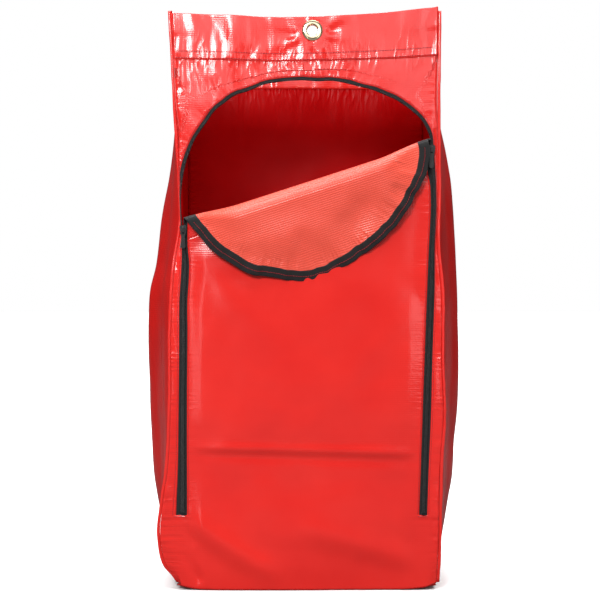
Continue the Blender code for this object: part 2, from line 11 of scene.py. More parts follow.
import bpy
import numpy as np
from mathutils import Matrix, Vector


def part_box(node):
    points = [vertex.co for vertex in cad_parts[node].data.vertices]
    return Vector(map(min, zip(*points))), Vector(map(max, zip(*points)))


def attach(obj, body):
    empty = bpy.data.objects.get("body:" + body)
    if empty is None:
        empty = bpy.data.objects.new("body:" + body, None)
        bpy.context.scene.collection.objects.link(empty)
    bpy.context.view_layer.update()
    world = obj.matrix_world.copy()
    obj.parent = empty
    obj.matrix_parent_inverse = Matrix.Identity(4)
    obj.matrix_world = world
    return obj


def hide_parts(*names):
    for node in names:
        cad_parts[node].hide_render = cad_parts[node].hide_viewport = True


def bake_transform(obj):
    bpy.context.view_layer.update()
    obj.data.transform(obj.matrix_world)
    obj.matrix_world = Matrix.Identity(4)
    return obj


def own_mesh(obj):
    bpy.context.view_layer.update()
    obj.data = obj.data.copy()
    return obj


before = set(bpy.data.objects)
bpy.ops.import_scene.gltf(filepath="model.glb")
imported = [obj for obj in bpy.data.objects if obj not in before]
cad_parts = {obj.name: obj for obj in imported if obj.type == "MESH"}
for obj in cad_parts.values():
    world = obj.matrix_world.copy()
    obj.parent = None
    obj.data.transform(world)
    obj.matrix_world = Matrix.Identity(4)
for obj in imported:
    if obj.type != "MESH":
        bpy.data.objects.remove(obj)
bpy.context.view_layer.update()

# ---------------------------------------------------------------- sizes from the frame

VINYL = 0.0006
GAP = 0.0003
TAPE = 0.0005

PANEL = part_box("front_panel")
HALF_WIDTH = PANEL[1][0]
FRONT = PANEL[0][1]
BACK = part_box("back_panel")[1][1]
DEPTH = BACK - FRONT
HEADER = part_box("front_header_band")
HEADER_LOW = HEADER[0][2]
HEIGHT = HEADER[1][2]
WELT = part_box("front_right_seam_welt")
WELT_WIDTH = WELT[1][0] - WELT[0][0]
TRAY_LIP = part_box("bottom_panel")[1][2]
WALL_TOP = HEIGHT - VINYL - GAP
INSET = VINYL + GAP
SIDES = (("left", -1), ("right", 1))

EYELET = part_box("front_grommet_eyelet")
GROMMET_X = (EYELET[0][0] + EYELET[1][0]) / 2
GROMMET_Z = (EYELET[0][2] + EYELET[1][2]) / 2
FLANGE_RADIUS = (EYELET[1][0] - EYELET[0][0]) / 2
EYE_RADIUS = 0.008
GROMMET = (GROMMET_X, GROMMET_Z)
# The hole that is cut in each sheet for its grommet
CUT_RADIUS = 0.0115

LEFT_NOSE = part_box("left_slider_body")[1][2]
RIGHT_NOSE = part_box("right_slider_body")[1][2]
SLIDER_LENGTH = 0.014

# The zip's path, as it is in the frame
ZIP_CENTRE = 0.0015
ZIP_HALF_SPAN = 0.1795
ZIP_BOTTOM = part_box("left_zip_stop")[0][2] - GAP
ZIP_TOP = 0.738
LEFT_SPRING = 0.545
RIGHT_SPRING = 0.646
LEFT_SQUARENESS = 2.3
RIGHT_SQUARENESS = 2.0
RIGHT_RUN_LEAN = 0.0115
SLOT = 0.006
TAPE_EDGE = 0.0012
DOOR_TAPE_WIDTH = 0.016
FRAME_TAPE_WIDTH = 0.0125
TAPE_DEPTH = INSET
TAPE_TAIL = 0.010

# The fold, whose hinges are the frame's joints
FOLD_RADIUS = 0.0085
FOLD_TURN = math.radians(92)
FOLD_RISE = 0.0025
FOLD_LOW = LEFT_NOSE + FOLD_RISE
FOLD_SLOPE = (RIGHT_NOSE - LEFT_NOSE) / (2 * ZIP_HALF_SPAN)
FOLD_SLANT = math.atan(FOLD_SLOPE)
FOLD_COS, FOLD_SIN = math.cos(FOLD_SLANT), math.sin(FOLD_SLANT)
# The door's vinyl rolls over softly: tight at its held ends, wide and low in the middle
ROLL_RADII = (0.0065, 0.0160)
ROLL_DROP = 0.016
ROLL_TURNS = (2 * FOLD_TURN, math.radians(195))
ROLL_EASE = 0.080
BLEND_LOW = -0.022


# ---------------------------------------------------------------- small tools


def smooth(low, high, value):
    """0 under low, 1 over high, and a smooth step between."""
    share = np.clip((value - low) / (high - low), 0, 1)
    return share * share * (3 - 2 * share)


def hill(x, z, centre, radii, tilt=0.0):
    """A round hill of height 1. tilt turns its long side, in radians."""
    dx, dz = x - centre[0], z - centre[1]
    cos, sin = math.cos(tilt), math.sin(tilt)
    along, across = dx * cos + dz * sin, dz * cos - dx * sin
    return np.exp(-((along / radii[0]) ** 2) - (across / radii[1]) ** 2)


CREASE_FADE = 0.25


def ridge(x, z, start, end, width):
    """A soft crease of height 1 along a line, fading out over a share of its length at both ends."""
    start, end = np.array(start, float), np.array(end, float)
    along = end - start
    length = math.hypot(*along)
    along = along / length
    dx, dz = x - start[0], z - start[1]
    s = (dx * along[0] + dz * along[1]) / length
    off = dz * along[0] - dx * along[1]
    return np.exp(-((off / width) ** 2)) * smooth(0, CREASE_FADE, s) * (1 - smooth(1 - CREASE_FADE, 1, s))


LATTICE_SIZE = 64
LATTICES = {}


def wander(x, z, scale, seed):
    """Smooth noise between about -1 and 1, whose hills are scale across. scale may be a pair for x and z."""
    if seed not in LATTICES:
        LATTICES[seed] = np.random.default_rng(seed).uniform(-1, 1, (LATTICE_SIZE, LATTICE_SIZE))
    grid = LATTICES[seed]
    sx, sz = (scale, scale) if np.isscalar(scale) else scale
    gx, gz = np.asarray(x, float) / sx + 17.3, np.asarray(z, float) / sz + 9.1
    ix, iz = np.floor(gx).astype(int), np.floor(gz).astype(int)
    fx, fz = gx - ix, gz - iz
    fx, fz = fx * fx * fx * (fx * (6 * fx - 15) + 10), fz * fz * fz * (fz * (6 * fz - 15) + 10)
    ix, iz = ix % LATTICE_SIZE, iz % LATTICE_SIZE
    jx, jz = (ix + 1) % LATTICE_SIZE, (iz + 1) % LATTICE_SIZE
    low = grid[ix, iz] * (1 - fx) + grid[jx, iz] * fx
    high = grid[ix, jz] * (1 - fx) + grid[jx, jz] * fx
    return low * (1 - fz) + high * fz


def ripples(x, z, scales, seed, share):
    """Two sizes of wander() together, the second one by its share."""
    return wander(x, z, scales[0], seed) + share * wander(x, z, scales[1], seed + 1)


def curve_through(points, value):
    """A smooth curve through (position, amount) points, read at value. Positions rise."""
    position, amount = (np.array(column, float) for column in zip(*points))
    slope = np.gradient(amount, position)
    value = np.clip(value, position[0], position[-1])
    i = np.clip(np.searchsorted(position, value) - 1, 0, len(position) - 2)
    step = position[i + 1] - position[i]
    t = (value - position[i]) / step
    return (
        amount[i] * (1 + 2 * t) * (1 - t) ** 2
        + slope[i] * step * t * (1 - t) ** 2
        + amount[i + 1] * t * t * (3 - 2 * t)
        + slope[i + 1] * step * t * t * (t - 1)
    )


# ---------------------------------------------------------------- materials


def new_material(name, colour, inputs):
    """inputs are the shader's other values, by name."""
    material = bpy.data.materials.new(name)
    material.use_nodes = True
    shader = material.node_tree.nodes["Principled BSDF"]
    shader.inputs["Base Color"].default_value = (*colour, 1)
    for key, value in inputs.items():
        shader.inputs[key].default_value = value
    return material


class Nodes:
    """Short names for building a material's or the world's node tree."""

    def __init__(self, owner):
        self.tree = owner.node_tree
        self.shader = self.tree.nodes.get("Principled BSDF")

    def add(self, kind, **settings):
        node = self.tree.nodes.new(kind)
        for name, value in settings.items():
            setattr(node, name, value)
        return node

    def link(self, source, target):
        self.tree.links.new(source, target)

    def uv(self):
        return self.add("ShaderNodeTexCoord").outputs["UV"]

    def scaled(self, vector, scale):
        mapping = self.add("ShaderNodeMapping")
        mapping.inputs["Scale"].default_value = scale
        self.link(vector, mapping.inputs["Vector"])
        return mapping.outputs["Vector"]

    def noise(self, vector, scale, detail=2.0, roughness=0.5):
        node = self.add("ShaderNodeTexNoise")
        node.inputs["Scale"].default_value = scale
        node.inputs["Detail"].default_value = detail
        node.inputs["Roughness"].default_value = roughness
        self.link(vector, node.inputs["Vector"])
        return node.outputs["Fac"]

    def wave(self, vector, scale, direction):
        node = self.add("ShaderNodeTexWave", bands_direction=direction)
        node.inputs["Scale"].default_value = scale
        self.link(vector, node.inputs["Vector"])
        return node.outputs["Fac"]

    def maths(self, operation, first, second):
        node = self.add("ShaderNodeMath", operation=operation)
        for value, socket in zip((first, second), node.inputs):
            if isinstance(value, (int, float)):
                socket.default_value = value
            else:
                self.link(value, socket)
        return node.outputs["Value"]

    def plus(self, first, second):
        return self.maths("ADD", first, second)

    def times(self, first, second):
        return self.maths("MULTIPLY", first, second)

    def ramp(self, factor, stops):
        node = self.add("ShaderNodeValToRGB")
        ramp = node.color_ramp
        while len(ramp.elements) < len(stops):
            ramp.elements.new(1)
        for element, (place, colour) in zip(ramp.elements, stops):
            element.position = place
            element.color = (*colour, 1)
        self.link(factor, node.inputs["Fac"])
        return node.outputs["Color"]

    def span(self, factor, low, high):
        node = self.add("ShaderNodeMapRange")
        node.inputs["To Min"].default_value = low
        node.inputs["To Max"].default_value = high
        self.link(factor, node.inputs["Value"])
        return node.outputs["Result"]

    def bump(self, height, strength, distance):
        node = self.add("ShaderNodeBump")
        node.inputs["Strength"].default_value = strength
        node.inputs["Distance"].default_value = distance
        self.link(height, node.inputs["Height"])
        self.link(node.outputs["Normal"], self.shader.inputs["Normal"])

    def seen_by_camera(self, white, dim, output):
        """The camera sees the white shader, and everything else meets the dim one."""
        path, mix = self.add("ShaderNodeLightPath"), self.add("ShaderNodeMixShader")
        self.link(path.outputs["Is Camera Ray"], mix.inputs["Fac"])
        self.link(dim, mix.inputs[1])
        self.link(white, mix.inputs[2])
        self.link(mix.outputs["Shader"], self.tree.nodes[output].inputs["Surface"])


RIB_HEIGHT = 0.0003
GATHER_DEPTH = 0.0095
DENT_DEPTH = 0.0022


def vinyl(name, dark, light, roughness, rib_bump, coat, specular=0.5, rib_tint=0.0):
    """Sheet vinyl. The threads inside it show as fine ribs, and it is gathered along its seams."""
    inputs = {"Roughness": roughness, "Coat Weight": coat, "Coat Roughness": 0.07}
    material = new_material(name, light, inputs | {"Specular IOR Level": specular})
    nodes = Nodes(material)
    uv = nodes.uv()
    ribs, threads = nodes.wave(uv, 100.0, "Y"), nodes.wave(uv, 90.0, "X")
    tint = nodes.times(nodes.maths("SUBTRACT", ribs, 0.5), 0.4 * rib_tint)
    patches = nodes.plus(nodes.noise(uv, 9.0, 3.0), tint)
    nodes.link(nodes.ramp(patches, [(0.3, dark), (0.7, light)]), nodes.shader.inputs["Base Color"])
    smears = nodes.noise(nodes.scaled(uv, (1.0, 1.6, 1.0)), 11.0)
    nodes.link(nodes.span(smears, roughness * 0.85, roughness * 1.2), nodes.shader.inputs["Roughness"])
    weave = nodes.plus(nodes.times(ribs, 0.7), nodes.times(threads, 0.25))
    weave = nodes.times(weave, RIB_HEIGHT * rib_bump)
    seam = nodes.add("ShaderNodeUVMap", uv_map="Seam").outputs["UV"]
    strength = nodes.add("ShaderNodeAttribute", attribute_name="gather").outputs["Fac"]
    crimps = nodes.noise(nodes.scaled(seam, (85.0, 22.0, 1.0)), 1.0, 1.0)
    fold = nodes.maths("ABSOLUTE", nodes.maths("SUBTRACT", crimps, 0.5), 0.0)
    gathers = nodes.times(nodes.times(fold, strength), -GATHER_DEPTH)
    dents = nodes.times(nodes.noise(uv, 16.0, 1.0, 0.4), DENT_DEPTH)
    height = nodes.plus(nodes.plus(weave, gathers), dents)
    nodes.bump(height, 1.0, 1.0)
    return material


def woven_tape():
    """Black zip tape: fine ribs across it, and a faint sheen."""
    inputs = {"Roughness": 0.8, "Sheen Weight": 0.3, "Sheen Roughness": 0.4}
    material = new_material("zip_tape", (0.010, 0.010, 0.011), inputs)
    nodes = Nodes(material)
    uv = nodes.uv()
    weave = nodes.times(nodes.wave(uv, 420.0, "X"), nodes.wave(uv, 330.0, "Y"))
    colour = nodes.ramp(weave, [(0.0, (0.004, 0.004, 0.0045)), (1.0, (0.016, 0.016, 0.017))])
    nodes.link(colour, nodes.shader.inputs["Base Color"])
    nodes.bump(weave, 0.6, 0.0003)
    return material


def plain(name, colour, roughness, metallic=0.0):
    """A smooth finish whose roughness wanders a little, as handling leaves it."""
    material = new_material(name, colour, {"Roughness": roughness, "Metallic": metallic})
    nodes = Nodes(material)
    place = nodes.add("ShaderNodeTexCoord").outputs["Object"]
    wear = nodes.noise(place, 180.0, 3.0)
    nodes.link(nodes.span(wear, roughness * 0.85, roughness * 1.3), nodes.shader.inputs["Roughness"])
    nodes.bump(nodes.noise(place, 900.0), 0.08, 0.0002)
    return material


OUTSIDE = vinyl("red_vinyl", (0.78, 0.018, 0.014), (0.86, 0.025, 0.018), 0.18, 0.20, 0.3)
# The bag's inner faces: the same red vinyl, darkened as painted shade for the inside, where little light
# reaches.
INSIDE_PAINTED_SHADE = vinyl("red_vinyl_inside", (0.44, 0.001, 0.002), (0.52, 0.002, 0.003), 0.30, 0.20, 0.0, 0.06)
# The door's back, the vinyl's inner face: lighter and pinker with its threads showing, and lightened further
# as painted light where the folded flap faces up into the light.
DOOR_BACK_TONE_AND_PAINTED_LIGHT = vinyl(
    "red_vinyl_door_back_tone_and_painted_light", (0.95, 0.092, 0.056), (1.0, 0.120, 0.074), 0.30, 1.6, 0.0, rib_tint=1.4
)
# The side walls and their headers: the same red vinyl as the front, darkened as painted shade for sides
# turned away from the light.
GUSSET_PAINTED_SHADE = vinyl("red_vinyl_side", (0.56, 0.008, 0.007), (0.64, 0.012, 0.009), 0.24, 0.18, 0.0, 0.10)
BLACK_TAPE = woven_tape()
NYLON = plain("zip_nylon", (0.012, 0.012, 0.013), 0.32)
ENAMEL = plain("black_enamel", (0.008, 0.008, 0.009), 0.28)
BRASS = plain("grommet_brass", (0.90, 0.76, 0.50), 0.14, 1.0)
RED_THREAD = plain("red_thread", (0.38, 0.004, 0.012), 0.5)


# ---------------------------------------------------------------- zip path, flat


def run_x(side, t, z):
    """x of the parallel at t on a straight run at height z. side is -1 for the left run, 1 for the right."""
    lean = RIGHT_RUN_LEAN * (RIGHT_SPRING - z) / (RIGHT_SPRING - ZIP_BOTTOM) if side > 0 else 0 * z
    return ZIP_CENTRE + side * (ZIP_HALF_SPAN - t) - lean


def shoulder(side, spring, squareness, angles):
    """Points and inward normals on the quarter superellipse over one run."""
    across = np.maximum(np.cos(angles), 0) ** (2 / squareness)
    up = np.sin(angles) ** (2 / squareness)
    rise = ZIP_TOP - spring
    points = np.stack([ZIP_CENTRE + side * ZIP_HALF_SPAN * across, spring + rise * up], 1)
    power = squareness - 1
    outward = np.stack([side * across**power / ZIP_HALF_SPAN, up**power / rise], 1)
    return points, -outward / np.linalg.norm(outward, axis=1, keepdims=True)


def zip_path():
    """The zip's line and its inward normals, from the left run's foot over the arch to the right run's."""
    quarter = np.linspace(0, math.pi / 2, 121)
    left, left_normals = shoulder(-1, LEFT_SPRING, LEFT_SQUARENESS, quarter)
    right, right_normals = shoulder(1, RIGHT_SPRING, RIGHT_SQUARENESS, quarter[-2::-1])
    rows = []
    for side, spring, foot_first in ((-1, LEFT_SPRING, True), (1, RIGHT_SPRING, False)):
        z = np.linspace(ZIP_BOTTOM, spring, 200)[:-1]
        points = np.stack([run_x(side, 0, z) + 0 * z, z], 1)
        normals = np.tile([-float(side), 0.0], (len(z), 1))
        rows.append((points, normals) if foot_first else (points[::-1], normals[::-1]))
    points = np.concatenate([rows[0][0], left, right, rows[1][0]])
    normals = np.concatenate([rows[0][1], left_normals, right_normals, rows[1][1]])
    return points, normals


PATH, NORMALS = zip_path()
PATH_LENGTH = np.concatenate([[0], np.cumsum(np.linalg.norm(np.diff(PATH, axis=0), axis=1))])
FULL = PATH_LENGTH[-1]


def on_path(s, t):
    """The flat (x, z) at distance s along the zip and t towards the door."""
    s, t = np.broadcast_arrays(np.asarray(s, float), np.asarray(t, float))
    point = np.stack([np.interp(s, PATH_LENGTH, PATH[:, k]) for k in (0, 1)], -1)
    normal = np.stack([np.interp(s, PATH_LENGTH, NORMALS[:, k]) for k in (0, 1)], -1)
    normal /= np.linalg.norm(normal, axis=-1, keepdims=True)
    point = point + normal * t[..., None]
    point[..., 1] -= np.maximum(-s, 0) + np.maximum(s - FULL, 0)
    return point


def path_at_height(side, z):
    """The distance along the zip at which one side's run or shoulder reaches height z."""
    middle = int(np.argmax(PATH[:, 1]))
    part = slice(0, middle + 1) if side < 0 else slice(middle, len(PATH))
    heights, lengths = PATH[part, 1], PATH_LENGTH[part]
    if side > 0:
        heights, lengths = heights[::-1], lengths[::-1]
    return float(np.interp(z, heights, lengths))


def fold_height(x):
    return FOLD_LOW + FOLD_SLOPE * (x - ZIP_CENTRE + ZIP_HALF_SPAN)


def to_fold(x, z):
    """Flat (x, z) as (u, n)."""
    up = z - fold_height(0)
    return x * FOLD_COS + up * FOLD_SIN, up * FOLD_COS - x * FOLD_SIN


def from_fold(u, n):
    """(u, n) as flat (x, z)."""
    return u * FOLD_COS - n * FOLD_SIN, fold_height(0) + u * FOLD_SIN + n * FOLD_COS


# ---------------------------------------------------------------- how the front wall hangs

# How far each upright front corner is pulled inwards, and back, at each height
LEFT_PULL = [
    (0.0, 0.011), (0.012, 0.004), (0.024, -0.004), (0.045, -0.0115), (0.082, -0.0165), (0.12, -0.0130),
    (0.17, -0.006), (0.27, -0.001), (0.40, 0.000), (0.47, 0.0045), (0.53, 0.0135), (0.585, 0.0125),
    (0.69, 0.0068), (0.77, 0.003), (0.84, -0.001),
]
RIGHT_PULL = [
    (0.0, 0.007), (0.05, 0.005), (0.13, 0.003), (0.19, 0.0015), (0.24, -0.002), (0.34, 0.0005),
    (0.43, 0.000), (0.50, 0.006), (0.57, 0.0045), (0.70, 0.0058), (0.84, 0.0045),
]
LEFT_BACK = [
    (0.0, 0.004), (0.05, 0.0), (0.30, 0.0), (0.45, 0.003), (0.53, 0.009), (0.60, 0.006), (0.72, 0.0),
    (0.84, 0.0),
]
RIGHT_BACK = [(0.0, 0.003), (0.1, 0.0), (0.45, 0.001), (0.57, 0.004), (0.72, 0.0), (0.84, 0.0)]
# How far the zip lines have shifted to the right
LEFT_SHIFT = [
    (0.0, -0.0006), (0.108, -0.0006), (0.19, -0.0008), (0.27, -0.0008), (0.37, 0.0), (0.42, 0.0),
    (0.455, 0.0022), (0.478, 0.0025), (0.505, 0.0), (0.84, 0.0),
]
RIGHT_SHIFT = [
    (0.0, -0.001), (0.108, -0.0006), (0.19, 0.0005), (0.27, 0.0014), (0.39, 0.0032), (0.48, 0.0048),
    (0.57, 0.0062), (0.605, 0.0035), (0.63, 0.0), (0.84, 0.0),
]
# How far the front wall's top and foot are lifted, from left to right
TOP_LIFT = [
    (-0.21, -0.003), (-0.12, -0.0065), (-0.03, -0.0095), (0.05, -0.007), (0.13, -0.001), (0.21, 0.0075)
]
FOOT_LIFT = [
    (-0.20, 0.010), (-0.185, 0.0065), (-0.165, 0.002), (-0.13, 0.0), (0.12, 0.0), (0.16, 0.002),
    (0.185, 0.006), (0.20, 0.011),
]
# How far the side walls' front corners are lifted, and how high up any lift of the foot reaches
CORNER_LIFT = 0.010
LIFT_REACH = 0.05


def calm(x, z, centre, inner, outer):
    """0 near centre and 1 far from it."""
    return smooth(inner, outer, np.hypot(x - centre[0], z - centre[1]))


def arch_polar(x, z):
    """A point's angle round the arch's middle, and its distance, which is 1 on a round arch."""
    across, rise = (x - ZIP_CENTRE) / ZIP_HALF_SPAN, (z - LEFT_SPRING) / (ZIP_TOP - LEFT_SPRING)
    return np.arctan2(rise, across), np.hypot(across, rise)


def sewn_pucker(x, z):
    """Short gathers along the header's seam and along the zip."""
    below = np.exp(-np.abs(z - HEADER_LOW - 0.004) / 0.022)
    crimps = ripples(x, z, ((0.009, 0.08), (0.017, 0.10)), 3, 0.7)
    rows = 0.0011 * below * crimps
    edge = np.exp(-np.abs(np.abs(x) - HALF_WIDTH + 0.004) / 0.012)
    crimps = ripples(x, z, ((0.05, 0.011), (0.06, 0.021)), 5, 0.6)
    return rows + 0.0007 * edge * crimps


def seam_field(x, z):
    """Along the nearest seam, away from it, and how strongly the vinyl is gathered there."""
    x, z = np.broadcast_arrays(np.asarray(x, float), np.asarray(z, float))
    angle, radius = arch_polar(x, z)
    left_off, right_off = np.abs(x - run_x(-1, 0, z)), np.abs(x - run_x(1, 0, z))
    run_off = np.maximum(np.minimum(left_off, right_off) - SLOT, 0)
    on_run = smooth(ZIP_BOTTOM - 0.03, ZIP_BOTTOM, z) * (1 - smooth(0.60, 0.66, z))
    seams = [
        (x, np.abs(z - HEADER_LOW - 0.003), 0.40 + 0.60 * smooth(0.10, -0.04, x), 0.017),
        (z, HALF_WIDTH - np.abs(x), 0.35, 0.010),
        (z, run_off, 0.22 * on_run, 0.009),
        (angle * 0.18, np.abs(radius - 1.03) * 0.18, 0.75 * smooth(0.0, 0.3, angle) * (z > 0.6), 0.012),
    ]
    strengths = np.stack([weight * np.exp(-off / reach) + 0 * x for _, off, weight, reach in seams])
    best = strengths.argmax(0)
    along = np.choose(best, [along + 0 * x for along, *_ in seams])
    away = np.choose(best, [off + 0 * x for _, off, *_ in seams])
    return along, away, strengths.max(0) * calm(x, z, GROMMET, 0.012, 0.03)


def arch_pucker(x, z):
    """Gathers that run out from the arch."""
    angle = np.arctan2(z - LEFT_SPRING, x - ZIP_CENTRE)
    radius = arch_polar(x, z)[1]
    near = np.exp(-np.abs(radius - 1.06) / 0.10) * smooth(0.985, 1.03, radius) * smooth(0.1, 0.5, angle)
    near = near * smooth(0.1, 0.5, math.pi - angle)
    return 0.0010 * near * ripples(angle, radius, ((0.075, 0.6), (0.14, 0.7)), 8, 0.6)


def header_folds(x, z):
    """Soft upright folds in the header, deepest round the grommet and on the left."""
    high = smooth(0.62, 0.80, z)
    strength = 0.35 + 1.0 * np.exp(-(((x + 0.07) / 0.12) ** 2))
    bent = x + 0.010 * wander(x, z, 0.045, 14) + 0.25 * (z - 0.8) * smooth(-0.02, -0.16, x)
    folds = ripples(bent, z, ((0.032, 0.12), (0.015, 0.06)), 12, 0.35)
    angle = np.arctan2(z - GROMMET_Z, x - GROMMET_X)
    distance = np.hypot(x - GROMMET_X, z - GROMMET_Z)
    star = np.cos(7 * angle + 1.2) + 0.6 * np.cos(11 * angle + 0.4)
    star = star * smooth(0.017, 0.026, distance) * np.exp(-distance / 0.030)
    return 0.0021 * high * strength * folds + 0.0016 * star


CREASES = [
    # start, end, width, height: the sheet's packing creases and the drags at its foot
    ((-0.20, 0.206), (0.20, 0.196), 0.0070, 0.0020),
    ((-0.19, 0.198), (0.19, 0.186), 0.0090, -0.0016),
    ((-0.20, 0.120), (-0.03, 0.010), 0.016, 0.0026),
    ((-0.20, 0.085), (-0.07, 0.004), 0.018, -0.0009),
    ((-0.02, 0.095), (0.19, 0.030), 0.018, 0.0020),
    ((0.02, 0.060), (0.16, 0.012), 0.018, -0.0007),
    ((-0.165, 0.500), (-0.03, 0.330), 0.020, 0.0014),
    ((0.16, 0.430), (0.02, 0.260), 0.024, 0.0012),
    ((-0.10, 0.060), (0.05, 0.052), 0.018, -0.0009),
    ((-0.197, 0.160), (-0.180, 0.085), 0.0050, 0.0034),
    ((-0.190, 0.120), (-0.160, 0.060), 0.0060, -0.0030),
    ((-0.195, 0.090), (-0.172, 0.010), 0.0060, 0.0036),
    ((-0.182, 0.060), (-0.150, 0.004), 0.0080, -0.0026),
    ((-0.196, 0.480), (-0.184, 0.400), 0.0045, 0.0022),
    ((-0.194, 0.400), (-0.186, 0.330), 0.0040, -0.0018),
    ((-0.197, 0.345), (-0.185, 0.270), 0.0045, 0.0018),
    ((0.185, 0.560), (0.197, 0.450), 0.0045, 0.0018),
    ((0.186, 0.150), (0.196, 0.050), 0.0060, 0.0024),
]


SWELLS = [
    # centre, radii, height: the door's belly, and the foot's swell under its hollow
    ((0.0, 0.30), (0.16, 0.22), 0.0045),
    ((-0.02, 0.07), (0.15, 0.06), 0.0030),
    ((0.0, 0.17), (0.2, 0.05), -0.0030),
]


def creased(out, x, z, creases):
    for start, end, width, height in creases:
        out = out + height * ridge(x, z, start, end, width)
    return out


def relief(x, z):
    """How far the front wall stands out of its plane."""
    x, z = np.asarray(x, float), np.asarray(z, float)
    out = 0 * x
    for centre, radii, height in SWELLS:
        out = out + height * hill(x, z, centre, radii)
    out = out + 0.0018 * wander(x, z, (0.11, 0.16), 20) + 0.0008 * wander(x, z, (0.045, 0.07), 21)
    out = creased(out, x, z, CREASES)
    out = out + sewn_pucker(x, z) + arch_pucker(x, z) + header_folds(x, z)
    out = out * calm(x, z, GROMMET, 0.015, 0.030)
    for side, nose in ((-1, LEFT_NOSE), (1, RIGHT_NOSE)):
        out = out * calm(x, z, (run_x(side, 0, nose), nose - SLIDER_LENGTH / 2), 0.012, 0.040)
    return out


def zip_calm(x, z):
    """Near 0 over the zip's straight runs, where a slider travels, and 1 elsewhere."""
    left = np.abs(x - run_x(-1, 0, z))
    right = np.abs(x - run_x(1, 0, z))
    nearest = np.minimum(left, right)
    below = 1 - smooth(RIGHT_NOSE - 0.01, RIGHT_NOSE + 0.04, z)
    return 1 - below * (1 - smooth(0.006, 0.030, nearest)) * 0.8


def near_fold(x, z):
    """1 on the door just under its fold, so that it meets the rolled part, and 0 away from there."""
    n = to_fold(x, z)[1]
    inside = smooth(-0.002, SLOT, np.minimum(x - run_x(-1, 0, z), run_x(1, 0, z) - x))
    return (1 - smooth(-BLEND_LOW, 0.060, -n)) * inside * (n < 0.5 * FOLD_RADIUS)


def drape_front(x, z, depth=0.0):
    """Flat points of the front wall in space. depth is counted into the bag."""
    x, z = np.asarray(x, float), np.asarray(z, float)
    left_line, right_line = run_x(-1, 0, z), run_x(1, 0, z)
    to_left = smooth(0, 1, (x - left_line) / (-HALF_WIDTH - left_line))
    to_right = smooth(0, 1, (x - right_line) / (HALF_WIDTH - right_line))
    across = np.clip((x - left_line) / (right_line - left_line), 0, 1)
    lines = curve_through(LEFT_SHIFT, z) * (1 - across) + curve_through(RIGHT_SHIFT, z) * across
    left, right = curve_through(LEFT_PULL, z), -curve_through(RIGHT_PULL, z)
    shift = lines * (1 - to_left) * (1 - to_right) + left * to_left + right * to_right
    lift = curve_through(TOP_LIFT, x) * smooth(0.70, 0.838, z) * calm(x, z, GROMMET, 0.0, 0.03)
    lift = lift + np.maximum(curve_through(FOOT_LIFT, x), 0) * (1 - smooth(0.0, LIFT_REACH, z))
    back = curve_through(LEFT_BACK, z) * to_left**2 + curve_through(RIGHT_BACK, z) * to_right**2
    shift = shift * (1 - near_fold(x, z))
    out = relief(x, z) * zip_calm(x, z) * (1 - near_fold(x, z))
    inner = 1 - smooth(0.17, 0.19, np.abs(x))
    wobble = 0.0016 * smooth(0.62, 0.68, z) * (1 - smooth(HEADER_LOW - 0.02, HEADER_LOW, z)) * inner
    shift = shift + wobble * wander(x, z, 0.028, 15)
    lift = lift + wobble * wander(x, z, 0.024, 16)
    return np.stack([x + shift, FRONT + depth - out + back, z + lift], -1)


# ---------------------------------------------------------------- the folded door


def roll_shape(u):
    """The roll at u: its radius, the height at which it starts, and how far it turns."""
    middle = smooth(0, ROLL_EASE, u - FOLD_ENDS[0]) * smooth(0, ROLL_EASE, FOLD_ENDS[1] - u)
    radius = ROLL_RADII[0] + (ROLL_RADII[1] - ROLL_RADII[0]) * middle
    return radius, -ROLL_DROP * middle, ROLL_TURNS[0] + (ROLL_TURNS[1] - ROLL_TURNS[0]) * middle


def roll_line(u, n):
    """The door's section over the fold: how far out and up it is, how far it has turned, and what is left."""
    radius, start, turn = roll_shape(u)
    arc = np.clip((n - start) / radius, 0, turn)
    rest = n - start - radius * arc
    out = radius * (1 - np.cos(arc)) + rest * np.sin(arc)
    up = start + radius * np.sin(arc) + rest * np.cos(arc)
    return out, up, arc, rest * (arc > 0)


def flap_relief(u, down):
    """How far the hanging flap swells towards the front, down from the end of its roll."""
    down = np.maximum(down, 0)
    on = smooth(0.0, 0.05, down)
    soft = 0.0016 * wander(u, down, (0.05, 0.05), 31) + 0.0008 * wander(u, down, (0.022, 0.03), 32)
    dent = -0.003 * hill(u, down, (0.055, 0.055), (0.02, 0.045), 0.6)
    dent = dent + 0.002 * hill(u, down, (-0.05, 0.04), (0.05, 0.03))
    return on * (soft + dent)


def door_rim(u, n):
    """The place along the zip's arch, as an angle, and the nearness to its tape, of a point of the door."""
    return arch_polar(*from_fold(u, n))


def rolled(u, n, depth=0.0):
    """Points of the door over its fold, in space."""
    u, n = np.broadcast_arrays(np.asarray(u, float), np.asarray(n, float))
    out, up, arc, down = roll_line(u, n)
    angle, radius = door_rim(u, n)
    rim = smooth(0.80, 0.96, radius) * smooth(0.0, 0.02, down)
    pucker = 0.0011 * rim * ripples(angle, radius, ((0.055, 0.5), (0.11, 0.5)), 33, 0.6)
    inward = -depth - flap_relief(u, down) - pucker
    level = 0 * angle
    sway = 0.0035 * rim * wander(angle, level, 0.16, 35) + 0.0012 * rim * wander(angle, level, 0.06, 36)
    along = u - 0.0075 * smooth(0.09, 0.165, u) * smooth(0.5, 2.4, arc)
    return in_space(along, out + np.cos(arc) * inward, up - np.sin(arc) * inward + np.cos(arc) * sway)


def in_space(u, out, up):
    """A point out and up from the fold line's foot, in the bag's axes."""
    x, z = from_fold(u, up)
    return np.stack([x, FRONT - out + 0 * u, z], -1)


# Spans along one line across the roll: from the bag's body to the fold's, and from there to the flap's. The
# roll's two pieces meet at the end of the fold's span.
BEND_OUT, BEND_UP = 0.98, -0.19
BEND_SPANS = {"fold": (0.0044, 0.0105), "flap": (0.0105, 0.0132)}


